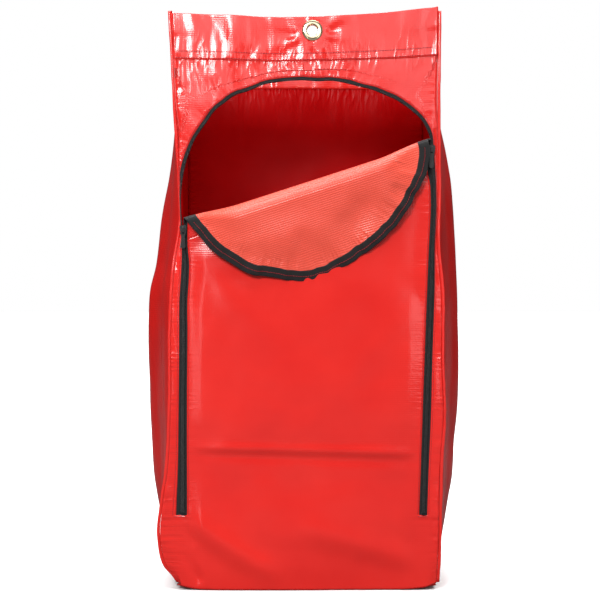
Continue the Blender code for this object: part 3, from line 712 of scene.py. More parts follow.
def split_table():
    """Where the rolled part's two pieces meet, as n for each u."""
    table = []
    for u in np.linspace(FOLD_ENDS[0] - 0.01, FOLD_ENDS[1] + 0.01, 121):
        radius, start, _ = roll_shape(u)
        n = start + radius * np.linspace(0, 2.9, 400)
        out, up, _, _ = roll_line(u, n)
        table.append((u, np.interp(BEND_SPANS["fold"][1], BEND_OUT * out + BEND_UP * up, n)))
    return np.array(table).T


def split_line(u):
    return np.interp(u, *SPLIT)


def roll_end(u):
    radius, start, turn = roll_shape(u)
    return start + radius * turn + 0.002


def s_at(side, t, level):
    """How far along the zip the parallel at t crosses a height over the fold line. level may depend on u."""
    middle = path_at_height(side, ZIP_TOP - 0.01)
    s = np.linspace(0, middle, 3000) if side < 0 else np.linspace(FULL, middle, 3000)
    u, n = to_fold(*on_path(s, np.full(len(s), t)).T)
    over = n - (level(u) if callable(level) else level)
    return float(np.interp(0, over, s))


FOLD_ENDS = [float(to_fold(*on_path(s_at(side, SLOT, 0.0), SLOT))[0]) for side in (-1, 1)]
SPLIT = split_table()


# ---------------------------------------------------------------- making meshes


def mesh_object(name, points, faces, materials, uvs=None, seams=None):
    """seams is seam_field()'s answer for every point, or None where the sheet isn't gathered."""
    mesh = bpy.data.meshes.new(name)
    mesh.from_pydata(np.asarray(points, float).reshape(-1, 3).tolist(), [], [tuple(f) for f in faces])
    for material in materials:
        mesh.materials.append(material)
    if uvs is not None:
        layer = mesh.uv_layers.new(name="UVMap")
        corners = np.empty(len(mesh.loops), int)
        mesh.loops.foreach_get("vertex_index", corners)
        layer.data.foreach_set("uv", np.asarray(uvs, float).reshape(-1, 2)[corners].ravel())
    if seams is not None:
        along, away, strength = (np.asarray(part, float).ravel() for part in seams)
        layer = mesh.uv_layers.new(name="Seam")
        layer.data.foreach_set("uv", np.stack([along, away], 1)[corners].ravel())
        mesh.attributes.new("gather", "FLOAT", "POINT").data.foreach_set("value", strength)
    mesh.shade_smooth()
    obj = bpy.data.objects.new(name, mesh)
    bpy.context.scene.collection.objects.link(obj)
    return obj


def skin(name, points, faces, materials, uvs, seams, thickness):
    """A sheet with its thickness on the side away from its normals. Its last material is the inner side's."""
    obj = mesh_object(name, points, faces, materials, uvs, seams)
    solidify = obj.modifiers.new("thickness", "SOLIDIFY")
    solidify.thickness = thickness
    solidify.offset = -1
    solidify.material_offset = len(materials) - 1
    solidify.use_quality_normals = True
    surface = obj.data
    obj.data = bpy.data.meshes.new_from_object(obj.evaluated_get(bpy.context.evaluated_depsgraph_get()))
    obj.modifiers.clear()
    bpy.data.meshes.remove(surface)
    return obj


def placed(obj, body, slot, *nodes):
    """obj rides on a body and stands for CAD nodes, which are hidden. slot is not used."""
    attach(obj, body)
    if nodes:
        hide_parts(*nodes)
    return obj


def grid_faces(rows, columns, start=0, closed=False, flip=False):
    """The faces of rows x columns points. closed joins each row's end to its start."""
    last = columns if closed else columns - 1
    faces = []
    for i in range(rows - 1):
        for j in range(last):
            k = (j + 1) % columns
            a, b = start + i * columns, start + (i + 1) * columns
            face = (a + j, a + k, b + k, b + j)
            faces.append(face[::-1] if flip else face)
    return faces


def grid_sheet(name, points, uvs, thickness, materials, flip=False, seams=None):
    """A sheet from a grid of points."""
    points = np.asarray(points, float)
    rows, columns = points.shape[:2]
    faces = grid_faces(rows, columns, flip=flip)
    obj = skin(name, points, faces, materials, uvs, seams, thickness)
    return obj


class Flat:
    """A flat mesh put together from patches whose borders meet."""

    def __init__(self):
        self.points = []
        self.faces = []
        self.index = {}

    def vertex(self, point):
        key = (round(float(point[0]) * 1e7), round(float(point[1]) * 1e7))
        if key not in self.index:
            self.index[key] = len(self.points)
            self.points.append((float(point[0]), float(point[1])))
        return self.index[key]

    def patch(self, bottom, top, left, right):
        """A patch stretched between four borders. left and right run from bottom to top."""
        bottom, top, left, right = (np.asarray(b, float) for b in (bottom, top, left, right))
        columns, rows = len(bottom), len(left)
        u = np.linspace(0, 1, columns)[None, :, None]
        v = np.linspace(0, 1, rows)[:, None, None]
        grid = (1 - v) * bottom[None] + v * top[None] + (1 - u) * left[:, None] + u * right[:, None]
        low_corners = (1 - u) * (1 - v) * bottom[0] + u * (1 - v) * bottom[-1]
        grid -= low_corners + (1 - u) * v * top[0] + u * v * top[-1]
        grid[0], grid[-1], grid[:, 0], grid[:, -1] = bottom, top, left, right
        ids = [[self.vertex(p) for p in row] for row in grid]
        for i in range(rows - 1):
            for j in range(columns - 1):
                face = (ids[i][j], ids[i][j + 1], ids[i + 1][j + 1], ids[i + 1][j])
                if len(set(face)) == 4:
                    self.faces.append(face)

    def without(self, centre, radius):
        """Drops the faces whose middles lie within radius of centre."""
        points = np.array(self.points)
        middles = points[np.array(self.faces)].mean(1)
        far = np.hypot(middles[:, 0] - centre[0], middles[:, 1] - centre[1]) > radius
        kept = [face for face, keep in zip(self.faces, far) if keep]
        used = sorted({v for face in kept for v in face})
        new = {old: i for i, old in enumerate(used)}
        self.points = [self.points[v] for v in used]
        self.faces = [tuple(new[v] for v in face) for face in kept]

    def sheet(self, name, place, thickness, materials, held, rests_on, flip=False, seams=None):
        """The sheet that place() makes of the flat points."""
        flat = np.array(self.points)
        points = place(flat[:, 0], flat[:, 1])
        faces = [face[::-1] for face in self.faces] if flip else self.faces
        field = seams(flat[:, 0], flat[:, 1]) if seams else None
        obj = skin(name, points, faces, materials, flat, field, thickness)
        return obj


def line(a, b, count):
    return np.linspace(a, b, count)


CELL = 0.0028


def steps(length, cell=CELL):
    return max(2, int(round(abs(length) / cell)) + 1)


BAR_SIDES = 6
# Where a bar's rings are along it, and their sizes
BAR_STATIONS = [(0.0, 0.35), (0.08, 0.8), (0.25, 1.0), (0.75, 1.0), (0.92, 0.8), (1.0, 0.35)]


def bars(name, starts, ends, normals, radii, material):
    """Many small round-ended bars, as stitches or zip teeth. radii are along the surface and out of it."""
    starts, ends, normals = (np.asarray(a, float) for a in (starts, ends, normals))
    along = ends - starts
    length = np.linalg.norm(along, axis=1, keepdims=True)
    along = along / length
    normals = normals - (normals * along).sum(1, keepdims=True) * along
    normals /= np.linalg.norm(normals, axis=1, keepdims=True)
    across = np.cross(along, normals)
    angles = np.arange(BAR_SIDES) * 2 * math.pi / BAR_SIDES
    rings = []
    for place, scale in BAR_STATIONS:
        middle = starts + along * length * place
        for angle in angles:
            spoke = radii[0] * math.cos(angle) * across + radii[1] * math.sin(angle) * normals
            rings.append(middle + scale * spoke)
    points = np.stack(rings, 1)
    one = grid_faces(len(BAR_STATIONS), BAR_SIDES, closed=True)
    count = len(rings)
    one += [tuple(range(BAR_SIDES))[::-1], tuple(range(count - BAR_SIDES, count))]
    faces = [tuple(v + k * count for v in face) for k in range(len(starts)) for face in one]
    return mesh_object(name, points, faces, [material])


STITCH_PITCH = 0.0036


def stitches(name, place, length, start=0.0, radius=0.0004):
    """A row of stitches along place(q, lift), q from start over length. lift is out of the sheet."""
    q = np.arange(start + STITCH_PITCH / 2, start + length - STITCH_PITCH / 2, STITCH_PITCH)
    half = 0.40 * STITCH_PITCH
    low, high = 0.0001, 0.0012
    normals = place(q, high) - place(q, low)
    return bars(name, place(q - half, low), place(q + half, low), normals, (radius, radius), RED_THREAD)


# ---------------------------------------------------------------- front wall and door


def edge_line(side, n0, n1, count):
    """The door's edge between two levels over the fold line, as (u, n)."""
    flat = on_path(np.linspace(s_at(side, SLOT, n0), s_at(side, SLOT, n1), count), SLOT)
    return np.stack(to_fold(*flat.T), 1)


# Where the strips beside the zip end and the arch's surround starts
TURN_HEIGHTS = (0.690, 0.700)


def flat_front():
    """The front panel, flat: the strips beside the zip, the arch's surround, the foot and the lower door."""
    flat = Flat()
    turn_left, turn_right = (path_at_height(side, z) for side, z in zip((-1, 1), TURN_HEIGHTS))
    corner = {-1: on_path(turn_left, -SLOT), 1: on_path(turn_right, -SLOT)}
    side_columns, slot_columns = 9, 4
    rows_low, top_rows = steps(ZIP_BOTTOM), steps(WALL_TOP - TURN_HEIGHTS[1])
    for side, s_turn, foot_s in ((-1, turn_left, 0.0), (1, turn_right, FULL)):
        count = steps(abs(s_turn - foot_s))
        edge = on_path(np.linspace(foot_s, s_turn, count), -SLOT)
        outer = np.stack([np.full(count, side * HALF_WIDTH), np.linspace(edge[0, 1], edge[-1, 1], count)], 1)
        low, high = line(outer[0], edge[0], side_columns), line(outer[-1], edge[-1], side_columns)
        above = line((side * HALF_WIDTH, WALL_TOP), (corner[side][0], WALL_TOP), side_columns)
        foot = np.stack([low[:, 0], 0 * low[:, 0]], 1)
        blocks = [(low, high, outer, edge)]
        blocks.append((high, above, line(outer[-1], above[0], top_rows), line(edge[-1], above[-1], top_rows)))
        blocks.append((foot, low, line(foot[0], low[0], rows_low), line(foot[-1], low[-1], rows_low)))
        for bottom, upper, left, right in blocks:
            if side < 0:
                flat.patch(bottom, upper, left, right)
            else:
                flat.patch(bottom[::-1], upper[::-1], right, left)
    count = steps(turn_right - turn_left)
    arch = on_path(np.linspace(turn_left, turn_right, count), -SLOT)
    rim = np.stack([np.linspace(corner[-1][0], corner[1][0], count), np.full(count, WALL_TOP)], 1)
    flat.patch(arch, rim, line(arch[0], rim[0], top_rows), line(arch[-1], rim[-1], top_rows))
    slot_edges = ((-1, -SLOT), (-1, SLOT), (1, SLOT), (1, -SLOT))
    marks = [(run_x(side, t, ZIP_BOTTOM), ZIP_BOTTOM) for side, t in slot_edges]
    door_columns = steps(marks[2][0] - marks[1][0])
    for a, b, columns in zip(marks, marks[1:], (slot_columns, door_columns, slot_columns)):
        bottom = line((a[0], 0), (b[0], 0), columns)
        flat.patch(bottom, line(a, b, columns), line(bottom[0], a, rows_low), line(bottom[-1], b, rows_low))
    ends = [from_fold(*edge_line(side, BLEND_LOW, 0.0, 2)[0]) for side in (-1, 1)]
    rows = steps(ends[0][1] - ZIP_BOTTOM)
    flat.patch(
        line(marks[1], marks[2], door_columns),
        line(ends[0], ends[1], door_columns),
        line(marks[1], ends[0], rows),
        line(marks[2], ends[1], rows),
    )
    flat.without(GROMMET, CUT_RADIUS)
    return flat, door_columns


def make_front():
    """The front wall and the door below its fold, one piece of vinyl. Returns the door's columns."""
    flat, door_columns = flat_front()
    obj = flat.sheet(
        "front_skin", drape_front, VINYL, [OUTSIDE, INSIDE_PAINTED_SHADE], "stretched", ["bottom_skin"], seams=seam_field
    )
    placed(obj, "bag", "vinyl", "front_panel")
    return door_columns


def level_line(level, columns):
    """A line of (u, n) across the door at a level over the fold line, from edge to edge."""
    ends = [edge_line(side, level, level, 2)[0] for side in (-1, 1)]
    points = line(*ends, columns)
    if callable(level):
        points[1:-1, 1] = level(points[1:-1, 0])
    return points


def fold_patches(columns):
    """The door's rolled parts and its flap, flat in (u, n): up to the two pieces' joint, then the rest."""
    low, rest = Flat(), Flat()
    for flat, start, end, rows in ((low, BLEND_LOW, split_line, 26), (rest, split_line, roll_end, 20)):
        sides = [edge_line(side, start, end, rows) for side in (-1, 1)]
        bottom, top = level_line(start, columns), level_line(end, columns)
        for edge, corner in ((sides[0], 0), (sides[1], -1)):
            edge[0], edge[-1] = bottom[corner], top[corner]
        flat.patch(bottom, top, *sides)
    s_left, s_right = s_at(-1, SLOT, roll_end), s_at(1, SLOT, roll_end)
    turn = 0.22 * (s_right - s_left)
    rows = steps(turn)
    corners = s_left + turn, s_right - turn
    borders = [(s_left, corners[0], rows), (s_right, corners[1], rows), (*corners, columns)]
    left, right, top = (np.stack(to_fold(*on_path(line(*border), SLOT).T), 1) for border in borders)
    bottom = level_line(roll_end, columns)
    left[0], right[0] = bottom[0], bottom[-1]
    rest.patch(bottom, top, left, right)
    return low, rest


def bend(obj, part, slot, *nodes):
    """obj lies over the fold, from the bag to the fold or from the fold to the flap. Its transform goes into
    its mesh, and the CAD nodes it stands for are hidden.
    """
    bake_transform(obj)
    if nodes:
        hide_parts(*nodes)


def door_seams(u, n):
    """seam_field() for the rolled door: gathered along its tape."""
    angle, radius = door_rim(u, n)
    away = np.abs(0.90 - radius) * 0.18
    return angle * 0.18, away, 0.6 * np.exp(-away / 0.008) * (n > 0.02)


def make_door(columns):
    low, rest = fold_patches(columns)
    fold = low.sheet("door_fold_skin", rolled, VINYL, [OUTSIDE, DOOR_BACK_TONE_AND_PAINTED_LIGHT], "folded", ["front_skin"])
    bend(fold, "fold", "vinyl_door", "door_fold")
    flap = rest.sheet(
        "door_flap_skin", rolled, VINYL, [OUTSIDE, DOOR_BACK_TONE_AND_PAINTED_LIGHT], "hung", ["door_fold_skin"], seams=door_seams
    )
    bend(flap, "flap", "vinyl_door", "door_flap")


# ---------------------------------------------------------------- the other walls

# How far the side walls reach from the middle, at their widest, at each height
LEFT_REACH = [
    (0.0, 0.195), (0.034, 0.206), (0.081, 0.222), (0.141, 0.2345), (0.203, 0.2395), (0.295, 0.2420),
    (0.388, 0.2430), (0.439, 0.2400), (0.473, 0.2325), (0.509, 0.2280), (0.549, 0.2235), (0.61, 0.2145),
    (0.68, 0.2045), (0.76, 0.1965), (0.84, 0.195),
]
RIGHT_REACH = [
    (0.0, 0.195), (0.034, 0.205), (0.081, 0.215), (0.110, 0.221), (0.141, 0.2270), (0.203, 0.2300),
    (0.234, 0.2335), (0.310, 0.2366), (0.390, 0.2352), (0.483, 0.2320), (0.574, 0.2272), (0.64, 0.2165),
    (0.70, 0.2045), (0.77, 0.1965), (0.84, 0.195),
]


def corner_pull(side, z):
    """How far a front corner has moved from its place, along X and back."""
    if side < 0:
        return curve_through(LEFT_PULL, z), curve_through(LEFT_BACK, z)
    return -curve_through(RIGHT_PULL, z), curve_through(RIGHT_BACK, z)


def drape_side(side, y, z, depth=0.0):
    """Points of a side wall. y is as sewn, from front to back."""
    y, z = np.asarray(y, float), np.asarray(z, float)
    share = y / (DEPTH / 2 - VINYL - GAP)
    far = np.abs(share)
    reach = curve_through(LEFT_REACH if side < 0 else RIGHT_REACH, z) - HALF_WIDTH
    crown = 0.72 * (1 - far**1.25) + 0.28 * np.exp(-((share / 0.22) ** 2)) * (1 - far**4)
    tall = np.sin(math.pi * np.clip(z / 0.76, 0, 1)) ** 0.5
    valley = 0.0045 * np.exp(-(((share + 0.80) / 0.13) ** 2)) * tall
    ripple = wander(y, z, (0.045, 0.16), 40 + side) + 0.5 * wander(y, z, (0.02, 0.07), 43 + side)
    ripple = 0.0022 * ripple * (1 - far**3) * smooth(0.0, 0.05, z) * (1 - smooth(0.72, HEADER_LOW, z))
    across, back = corner_pull(side, z)
    near = 1 - smooth(0.0, 0.9, share + 1)
    x = side * (HALF_WIDTH + reach * crown - valley + ripple - depth) + across * near
    y = y * (1 - depth / DEPTH * 2 * far**6) + back * near
    lift = CORNER_LIFT * (1 - smooth(0.0, 0.6, share + 1)) * (1 - smooth(0.0, LIFT_REACH, z))
    return np.stack([x, y, z + lift], -1)


def wall_seams(a, z, half=HALF_WIDTH):
    """seam_field() for a wall without a zip, half of which is half wide."""
    a, z = np.broadcast_arrays(np.asarray(a, float), np.asarray(z, float))
    header = np.exp(-np.abs(z - HEADER_LOW - 0.003) / 0.017)
    side = 0.5 * np.exp(-(half - np.abs(a)) / 0.010)
    upright = side > header
    along, away = np.where(upright, z, a), np.where(upright, half - np.abs(a), np.abs(z - HEADER_LOW - 0.003))
    return along, away, np.maximum(header, side)


BACK_CREASES = [((-0.2, 0.42), (0.2, 0.43), 0.008, 0.0014), ((0.19, 0.13), (0.02, 0.0), 0.012, -0.002)]


def drape_back(x, z, depth=0.0):
    """Points of the back wall."""
    x, z = np.asarray(x, float), np.asarray(z, float)
    out = 0.0016 * wander(x, z, (0.09, 0.16), 50) + 0.0008 * wander(x, z, (0.035, 0.06), 51)
    out = creased(out, x, z, BACK_CREASES)
    crimps = ripples(x, z, ((0.011, 0.08), (0.026, 0.2)), 53, 0.7)
    out = out + 0.0011 * crimps * smooth(0.62, 0.80, z)
    edge = 1 - smooth(HALF_WIDTH - 0.03, HALF_WIDTH, np.abs(x))
    out = out * calm(x, z, GROMMET, 0.016, 0.045) * edge * smooth(0.0, 0.03, z)
    return np.stack([x, BACK - depth + out, z], -1)


def make_back():
    flat = Flat()
    feet, tops = ([(x, z) for x in (-HALF_WIDTH, HALF_WIDTH)] for z in (0, WALL_TOP))
    columns, rows = steps(2 * HALF_WIDTH, 0.005), steps(WALL_TOP, 0.006)
    flat.patch(
        line(*feet, columns), line(*tops, columns), line(feet[0], tops[0], rows), line(feet[1], tops[1], rows)
    )
    flat.without(GROMMET, CUT_RADIUS)
    obj = flat.sheet(
        "back_skin", drape_back, VINYL, [OUTSIDE, INSIDE_PAINTED_SHADE], "stretched", ["bottom_skin"], True, wall_seams
    )
    placed(obj, "bag", "vinyl", "back_panel")


def make_sides():
    rows = line(0, WALL_TOP, steps(WALL_TOP, 0.005))
    z, y = np.meshgrid(rows, line(FRONT + VINYL + GAP, BACK - VINYL - GAP, 61), indexing="ij")
    for name, side in SIDES:
        obj = grid_sheet(
            f"{name}_side_skin", drape_side(side, y, z), np.stack([y, z], -1), VINYL, [GUSSET_PAINTED_SHADE, INSIDE_PAINTED_SHADE],
            side < 0, wall_seams(y, z, DEPTH / 2),
        )
        placed(obj, "bag", "vinyl_sides", f"{name}_side_panel")


def make_bottom():
    """The floor of the bag, with lips that stand inside the walls."""
    girth = np.array([(-1, -1), (1, -1), (1, 1), (-1, 1), (-1, -1)], float)
    ring = np.concatenate([line(a, b, 25)[:-1] for a, b in zip(girth, girth[1:])])
    # Each ring's share of the floor's size, and its height up the lips
    rows = [(share, 0) for share in (0.0, 0.5, 0.9, 0.97)]
    rows += [(1.0, rise) for rise in (0.0015, 0.006, 0.010, TRAY_LIP)]
    points = []
    for share, height in rows:
        x = ring[:, 0] * (HALF_WIDTH - INSET) * max(share, 0.002)
        y = ring[:, 1] * (DEPTH / 2 - INSET) * max(share, 0.002)
        z = np.full(len(x), height + 0.0012 * (1 - share**2))
        if share == 1.0:
            front = ring[:, 1] < -0.999
            left, right = ring[:, 0] < -0.999, ring[:, 0] > 0.999
            for side, mask in ((-1, left), (1, right)):
                x[mask] = drape_side(side, y[mask], z[mask], INSET)[:, 0]
            wall = drape_front(ring[front, 0] * (HALF_WIDTH - 2 * INSET), z[front], INSET)
            x[front], y[front] = wall[:, 0], wall[:, 1]
        corner_lift = np.maximum(curve_through(FOOT_LIFT, x), 0) * share**8
        z = z + corner_lift * smooth(0.4, 1.0, -ring[:, 1])
        points.append(np.stack([x, y, z], 1))
    points = np.stack(points)
    faces = grid_faces(*points.shape[:2], closed=True)
    obj = skin("bottom_skin", points, faces, [OUTSIDE, INSIDE_PAINTED_SHADE], points[..., :2], None, VINYL)
    placed(obj, "bag", "vinyl", "bottom_panel")


WELT_GIRTH = 0.005


def make_welts():
    """The four upright seams, which stand out as fins whose edges are a little wavy."""
    z = np.linspace(0.0005, HEIGHT - 0.0008, 160)
    profile = [(0.0, -1), (0.6, -1), (0.88, -0.75), (1.0, 0), (0.88, 0.75), (0.6, 1), (0.0, 1)]
    for row, y_side in (("front", -1), ("back", 1)):
        for name, side in SIDES:
            across, back = corner_pull(side, z) if y_side < 0 else (0 * z, 0 * z)
            lift = CORNER_LIFT * (1 - smooth(0.0, LIFT_REACH, z)) if y_side < 0 else 0 * z
            width = WELT_WIDTH * (1 + 0.06 * wander(z, 0 * z, 0.012, 60))
            sway = 0.0003 * wander(z, 0 * z, 0.018, 61 + side)
            rows = []
            for out, off in profile:
                x = side * (HALF_WIDTH + GAP + out * width) + across
                y = y_side * (DEPTH / 2 - VINYL) - off * VINYL * 0.95 + sway + back
                rows.append(np.stack([x, y, z + lift], 1))
            points = np.stack(rows, 1)
            count = len(profile)
            faces = grid_faces(len(z), count, closed=True)
            faces += [tuple(range(count))[::-1], tuple(range(len(z) * count - count, len(z) * count))]
            if side * y_side > 0:
                faces = [face[::-1] for face in faces]
            uvs = np.stack(np.meshgrid(line(0, WELT_GIRTH, count), z), -1)
            obj = mesh_object(f"{row}_{name}_welt", points, faces, [OUTSIDE], uvs)
            placed(obj, "bag", "vinyl_sides", f"{row}_{name}_seam_welt")


# ---------------------------------------------------------------- header

BAND_OUT = INSET
BAND_IN = 2 * VINYL + GAP


def band_rows():
    """(height, depth) up the outside of a header band, over its fold and down its inside."""
    outside = [(z, -BAND_OUT) for z in line(HEADER_LOW, HEIGHT - 0.0012, 26)]
    middle, radius = (BAND_IN - BAND_OUT) / 2, (BAND_IN + BAND_OUT) / 2
    over = []
    for angle in line(0.2, math.pi - 0.2, 6):
        over.append((HEIGHT - radius + radius * math.sin(angle) ** 0.8, middle - radius * math.cos(angle)))
    inside = [(z, BAND_IN) for z in line(HEIGHT - 0.0012, HEADER_LOW, 22)]
    return np.array(outside + over + inside)


def make_header(name, place, half_length, hole, flip, material):
    """A strip folded over a wall's top edge. place(a, z, depth) is that wall's own shape."""
    rows = band_rows()
    gone = np.concatenate([[0], np.cumsum(np.hypot(*np.diff(rows, axis=0).T))])
    along = line(-half_length, half_length, steps(2 * half_length))
    a, z = np.meshgrid(along, rows[:, 0])
    depth = np.repeat(rows[:, 1][:, None], len(along), 1)
    points = place(a, np.minimum(z, HEIGHT), depth)
    uvs = np.stack([a, HEADER_LOW + np.repeat(gone[:, None], len(along), 1)], -1)
    faces = grid_faces(*a.shape, flip=flip)
    if hole:
        middle = np.stack([a, z], -1).reshape(-1, 2)[np.array(faces)].mean(1)
        far = np.hypot(middle[:, 0] - hole[0], middle[:, 1] - hole[1]) > CUT_RADIUS
        faces = [face for face, keep in zip(faces, far) if keep]
    along, away, strength = wall_seams(a, z, 10.0)
    strength = 0.55 * strength * (depth < 0)
    obj = skin(f"{name}_header", points, faces, [material], uvs, (along, away, strength), VINYL * 0.9)
    placed(obj, "bag", "vinyl_header", f"{name.split('_')[0]}_header_band")


HEADER_STITCH_RADIUS = 0.0006


def stitch_header(name, place, half_length):
    for row, up in (("upper", 0.0125), ("lower", 0.0025)):
        path = lambda q, lift: place(q, np.full(len(q), HEADER_LOW + up), np.full(len(q), -BAND_OUT - lift))
        start = 0.002 - half_length
        obj = stitches(f"{name}_header_{row}_stitches", path, -2 * start, start, HEADER_STITCH_RADIUS)
        placed(obj, "bag", "vinyl_header")


def make_headers():
    front_half = HALF_WIDTH - VINYL - GAP
    side_half = DEPTH / 2 - 2 * VINYL - 3 * GAP
    walls = [
        ("front", drape_front, front_half, GROMMET, False, OUTSIDE),
        ("back", drape_back, front_half, GROMMET, True, OUTSIDE),
    ]
    # The side headers take the side walls' vinyl with its painted shade.
    for name, side in SIDES:
        place = lambda a, z, depth, side=side: drape_side(side, a, z, depth)
        walls.append((f"{name}_side", place, side_half, None, side < 0, GUSSET_PAINTED_SHADE))
    for name, place, half_length, gap, flip, material in walls:
        make_header(name, place, half_length, gap, flip, material)
        stitch_header(name, place, half_length)


# ---------------------------------------------------------------- zip


def on_bag(s, t, depth=0.0):
    flat = on_path(s, t)
    return drape_front(flat[..., 0], flat[..., 1], depth)


def on_door(s, t, depth=0.0):
    flat = on_path(s, t)
    u, n = to_fold(flat[..., 0], flat[..., 1])
    return rolled(u, n, depth)


def tape_grid(ends, t0, t1, columns, count):
    """(s, t) over a length of tape. ends(t) gives where it starts and stops on the parallel at t."""
    t = line(t0, t1, columns)
    s = np.stack([np.linspace(*ends(each), count) for each in t], 1)
    return s, np.tile(t, (count, 1))


def make_tape(name, place, ends, edges, count):
    s, t = tape_grid(ends, *edges, 8, count)
    points, uvs = place(s, t, TAPE_DEPTH), np.stack([s, t], -1)
    return grid_sheet(name, points, uvs, TAPE, [BLACK_TAPE], flip=s[-1, 0] > s[0, 0])


# Across the tapes, from edge to edge, as parallels of the zip
FRAME_EDGES = (-FRAME_TAPE_WIDTH, -TAPE_EDGE / 2)
DOOR_EDGES = (TAPE_EDGE / 2, DOOR_TAPE_WIDTH)
PITCH = 0.0015
# The coils: how far a tooth reaches from the zip's line, where it starts, how far it goes past the line in a
# closed chain, how high it lies over the vinyl, and the parallel along which an open coil is measured
COIL_FAR = 0.0030
COIL_NEAR = 0.0001
COIL_PAST = 0.0008
COIL_LIFT = 0.0004
COIL_T = 0.0015


def teeth(name, place, s, t0, t1):
    """One row of a nylon coil: a tooth across the zip at each s, from t0 to t1."""
    first, last = (place(s, np.full(len(s), t), -COIL_LIFT) for t in (t0, t1))
    normals = place(s, np.full(len(s), t0), -COIL_LIFT - 0.001) - first
    return bars(name, first, last, normals, (0.00052, 0.00095), NYLON)


def joined(name, objects):
    """One object out of several, whose materials are the first one's."""
    points, faces = [], []
    for obj in objects:
        start = len(points)
        points += [tuple(v.co) for v in obj.data.vertices]
        faces += [tuple(start + v for v in polygon.vertices) for polygon in obj.data.polygons]
        material = obj.data.materials[0]
        bpy.data.objects.remove(obj)
    return mesh_object(name, points, faces, [material])


def make_zip():
    ends = lambda t: (-TAPE_TAIL, FULL + TAPE_TAIL)
    frame_tape = make_tape("frame_tape", on_bag, ends, FRAME_EDGES, 620)
    placed(frame_tape, "bag", "zip_tape", "frame_zip_tape")
    top = {side: s_at(side, SLOT / 2, 0.0) for side in (-1, 1)}
    arch = np.arange(top[-1] - 0.002, top[1] + 0.002, PITCH)
    placed(teeth("frame_coil", on_bag, arch, -COIL_FAR, -COIL_NEAR), "bag", "zip_teeth", "frame_zip_coil")
    for name, side in SIDES:
        foot = -TAPE_TAIL if side < 0 else FULL + TAPE_TAIL
        ends = lambda t: (foot, s_at(side, t, BLEND_LOW))
        low = make_tape(f"{name}_door_tape", on_bag, ends, DOOR_EDGES, 130)
        placed(low, "bag", "zip_tape", f"{name}_door_zip_tape")
        ends = lambda t: (s_at(side, t, BLEND_LOW), s_at(side, t, split_line))
        rolling = make_tape(f"{name}_fold_tape", on_door, ends, DOOR_EDGES, 30)
        bend(rolling, "fold", "zip_tape", f"{name}_fold_zip_tape")
        span = sorted((s_at(side, COIL_T, 0.0), s_at(side, COIL_T, split_line)))
        coil = teeth(f"{name}_fold_coil", on_door, np.arange(*span, PITCH), COIL_FAR, COIL_NEAR)
        bend(coil, "fold", "zip_teeth", f"{name}_fold_zip_coil")
        make_chain(name, side)
    ends = lambda t: (s_at(-1, t, split_line), s_at(1, t, split_line))
    flap_tape = make_tape("flap_tape", on_door, ends, DOOR_EDGES, 300)
    bend(flap_tape, "flap", "zip_tape", "flap_zip_tape")
    first, last = ends(COIL_T)
    coil = teeth("flap_coil", on_door, np.arange(first + PITCH, last, PITCH), COIL_FAR, COIL_NEAR)
    bend(coil, "flap", "zip_teeth", "flap_zip_coil")


def make_chain(name, side):
    """The closed part of a run: two coils whose teeth lock."""
    span = [path_at_height(side, corner[2]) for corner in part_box(f"{name}_zip_chain")]
    foot, top = (on_bag(s, 0.0, -COIL_LIFT) for s in span)
    s = np.arange(min(span), max(span), PITCH)
    rows = [
        teeth("row", on_bag, s + late, far, past)
        for late, far, past in ((0, -COIL_FAR, COIL_PAST), (PITCH / 2, COIL_FAR, -COIL_PAST))
    ]
    obj = joined(f"{name}_chain", rows)
    placed(obj, "bag", "zip_teeth", f"{name}_zip_chain")
    tuple(map(float, foot))
    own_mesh(obj)


def make_zip_stitches():
    """Red stitches beside the slot's edges, and along the middle of the flap's tape."""
    off = 0.0022
    top = {side: s_at(side, SLOT, 0.0) for side in (-1, 1)}
    outer = lambda q, lift: on_bag(q, -SLOT - off, -lift)
    placed(stitches("zip_surround_stitches", outer, FULL), "bag", "vinyl")
    for name, side in SIDES:
        length = top[-1] - 0.012 if side < 0 else FULL - top[1] - 0.012
        start = 0.0 if side < 0 else FULL - length
        inner = lambda q, lift: on_bag(q, SLOT + off, -lift)
        placed(stitches(f"{name}_door_edge_stitches", inner, length, start), "bag", "vinyl")
        x = run_x(side, 0, ZIP_BOTTOM)
        foot = lambda q, lift, x=x: drape_front(x + q, np.full(len(q), ZIP_BOTTOM - off), -lift)
        placed(stitches(f"{name}_zip_foot_stitches", foot, 0.016, -0.008), "bag", "vinyl")
    spans = (s_at(-1, 0.008, roll_end), s_at(1, 0.008, roll_end))
    row = lambda q, lift: on_door(q, 0.0075, TAPE_DEPTH + TAPE + lift)
    flap_row = stitches("flap_tape_stitches", row, spans[1] - spans[0], spans[0])
    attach(flap_row, "door_flap")


# ---------------------------------------------------------------- metal


TURNS = 96


def turned(name, profile, centre, axis_side):
    """A turned brass ring. profile is (radius, out) going round; out is along -Y where axis_side is 1."""
    angles = np.arange(TURNS) * 2 * math.pi / TURNS
    rows = []
    for radius, out in profile:
        x, z = centre[0] + radius * np.cos(angles), centre[2] + radius * np.sin(angles)
        rows.append(np.stack([x, np.full(TURNS, centre[1] - axis_side * out), z], 1))
    count = len(profile) * TURNS
    faces = grid_faces(len(profile) + 1, TURNS, closed=True, flip=axis_side > 0)
    return mesh_object(name, rows, [tuple(v % count for v in face) for face in faces], [BRASS])


def stands_out(box, side, wall):
    """How far a box's outer and inner faces are outside a wall."""
    reaches = [abs(corner[1]) - abs(wall) for corner in box]
    return reaches if side > 0 else reaches[::-1]


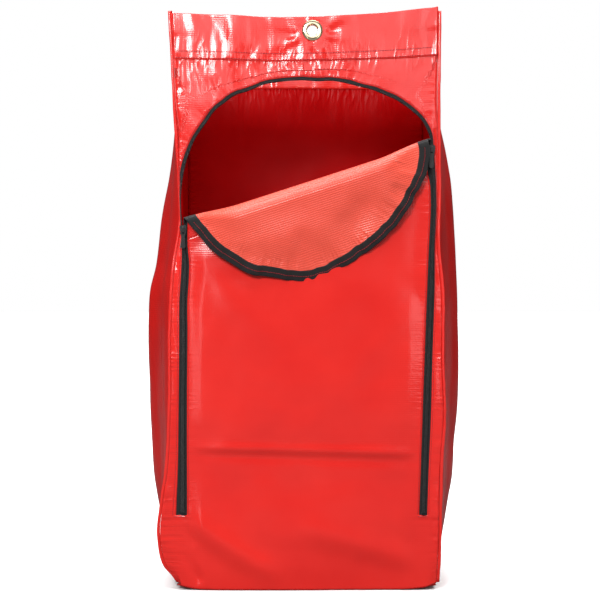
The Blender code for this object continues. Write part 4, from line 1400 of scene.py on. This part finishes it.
def make_grommets():
    eye, flange, wall_thick = EYE_RADIUS, FLANGE_RADIUS, 0.0007
    seat = BAND_OUT + 0.00005
    for row, side, wall in (("front", 1, FRONT), ("back", -1, BACK)):
        out, inner = stands_out(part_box(f"{row}_grommet_eyelet"), side, wall)
        high, low = stands_out(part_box(f"{row}_grommet_washer"), side, wall)
        eyelet = [
            (eye + 0.0002, out - 0.0006), (eye + 0.0012, out - 0.0001), (eye + 0.0028, out),
            (flange - 0.0026, out - 0.0004), (flange - 0.0008, out - 0.0009), (flange, seat + 0.0003),
            (flange - 0.0003, seat), (eye + 0.0015, seat), (eye + wall_thick, seat - 0.0004),
            (eye + wall_thick, inner + 0.0003), (eye + 0.0014, inner + 0.0001),
            (eye + 0.0013, inner - 0.0002), (eye + 0.0003, inner), (eye, inner + 0.0005),
        ]
        washer = [
            (eye + 0.0012, high), (flange - 0.0002, high), (flange, high - 0.0003), (flange - 0.0009, low),
            (eye + 0.0040, low + 0.0001), (eye + 0.0018, low + 0.0003), (eye + 0.0012, low + 0.0005),
        ]
        for piece, profile in (("eyelet", eyelet), ("washer", washer)):
            ring = turned(f"{row}_{piece}", profile, (GROMMET_X, wall, GROMMET_Z), side)
            placed(ring, "bag", "grommet", f"{row}_grommet_{piece}")


def finish_nodes():
    """The sliders, pulls and stops keep their CAD shapes."""
    for piece in ("slider_body", "pull_tab", "zip_stop"):
        for name, _ in SIDES:
            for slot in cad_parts[f"{name}_{piece}"].material_slots:
                slot.material = ENAMEL


door_columns = make_front()
make_door(door_columns)
make_back()
make_sides()
make_bottom()
make_welts()
make_headers()
make_zip()
make_zip_stitches()
make_grommets()
finish_nodes()


# ---------------------------------------------------------------- floor, light and camera


def pale_floor():
    """A white floor that throws back little light on the bag, as a small table would in a dark studio."""
    material = new_material("pale_floor", (0.97, 0.97, 0.97), {"Roughness": 0.7})
    nodes = Nodes(material)
    dim = nodes.add("ShaderNodeBsdfDiffuse")
    dim.inputs["Color"].default_value = (0.12, 0.12, 0.12, 1)
    nodes.seen_by_camera(nodes.shader.outputs["BSDF"], dim.outputs["BSDF"], "Material Output")
    return material


def make_stage():
    bpy.ops.mesh.primitive_circle_add(vertices=96, radius=40.0, fill_type="NGON", location=(0, 0, -0.0005))
    floor = bpy.context.object
    floor.name = "floor"
    floor.data.materials.append(pale_floor())
    world = bpy.data.worlds.new("studio")
    bpy.context.scene.world = world
    world.use_nodes = True
    nodes = Nodes(world)
    split = nodes.add("ShaderNodeSeparateXYZ")
    nodes.link(nodes.add("ShaderNodeTexCoord").outputs["Generated"], split.inputs["Vector"])
    glow = nodes.ramp(split.outputs["Z"], [(0.0, (0.05, 0.05, 0.05)), (0.9, (0.35, 0.35, 0.35))])
    soft, white = nodes.tree.nodes["Background"], nodes.add("ShaderNodeBackground")
    nodes.link(glow, soft.inputs["Color"])
    white.inputs["Color"].default_value = (1, 1, 1, 1)
    nodes.seen_by_camera(white.outputs["Background"], soft.outputs["Background"], "World Output")


def add_light(name, place, size, power, aim=(0, 0, 0.45)):
    data = bpy.data.lights.new(name, "AREA")
    data.shape = "RECTANGLE"
    data.size, data.size_y = size
    data.energy = power
    light = bpy.data.objects.new(name, data)
    light.location = place
    light.rotation_euler = (Vector(aim) - Vector(place)).to_track_quat("-Z", "Y").to_euler()
    bpy.context.scene.collection.objects.link(light)


def make_lights():
    add_light("key", (-0.75, -2.2, 1.55), (0.6, 0.6), 38)
    add_light("high_front", (0.0, -2.4, 1.62), (2.2, 1.2), 14, (0, -0.13, 0.75))
    add_light("right_strip", (0.85, -2.2, 0.80), (0.50, 1.2), 3)
    add_light("left_strip", (-0.75, -2.6, 0.50), (0.20, 1.3), 1.5)
    add_light("back_key", (0.1, 2.4, 1.7), (0.8, 0.8), 34)
    for name, side in SIDES:
        add_light(f"{name}_side", (side * 2.2, -0.1, 1.0), (0.4, 1.2), 3)
    sun = bpy.data.lights.new("overhead", "SUN")
    sun.energy = 4.0
    sun.angle = math.radians(60)
    light = bpy.data.objects.new("overhead", sun)
    bpy.context.scene.collection.objects.link(light)


def make_camera():
    data = bpy.data.cameras.new("camera")
    data.lens = 74.7
    data.sensor_width = 36
    camera = bpy.data.objects.new("camera", data)
    camera.location = (-0.0094, FRONT - 1.8, 0.419)
    camera.rotation_euler = (math.pi / 2, 0, 0)
    bpy.context.scene.collection.objects.link(camera)
    bpy.context.scene.camera = camera


make_stage()
make_lights()
make_camera()
bpy.context.scene.view_settings.view_transform = "Standard"
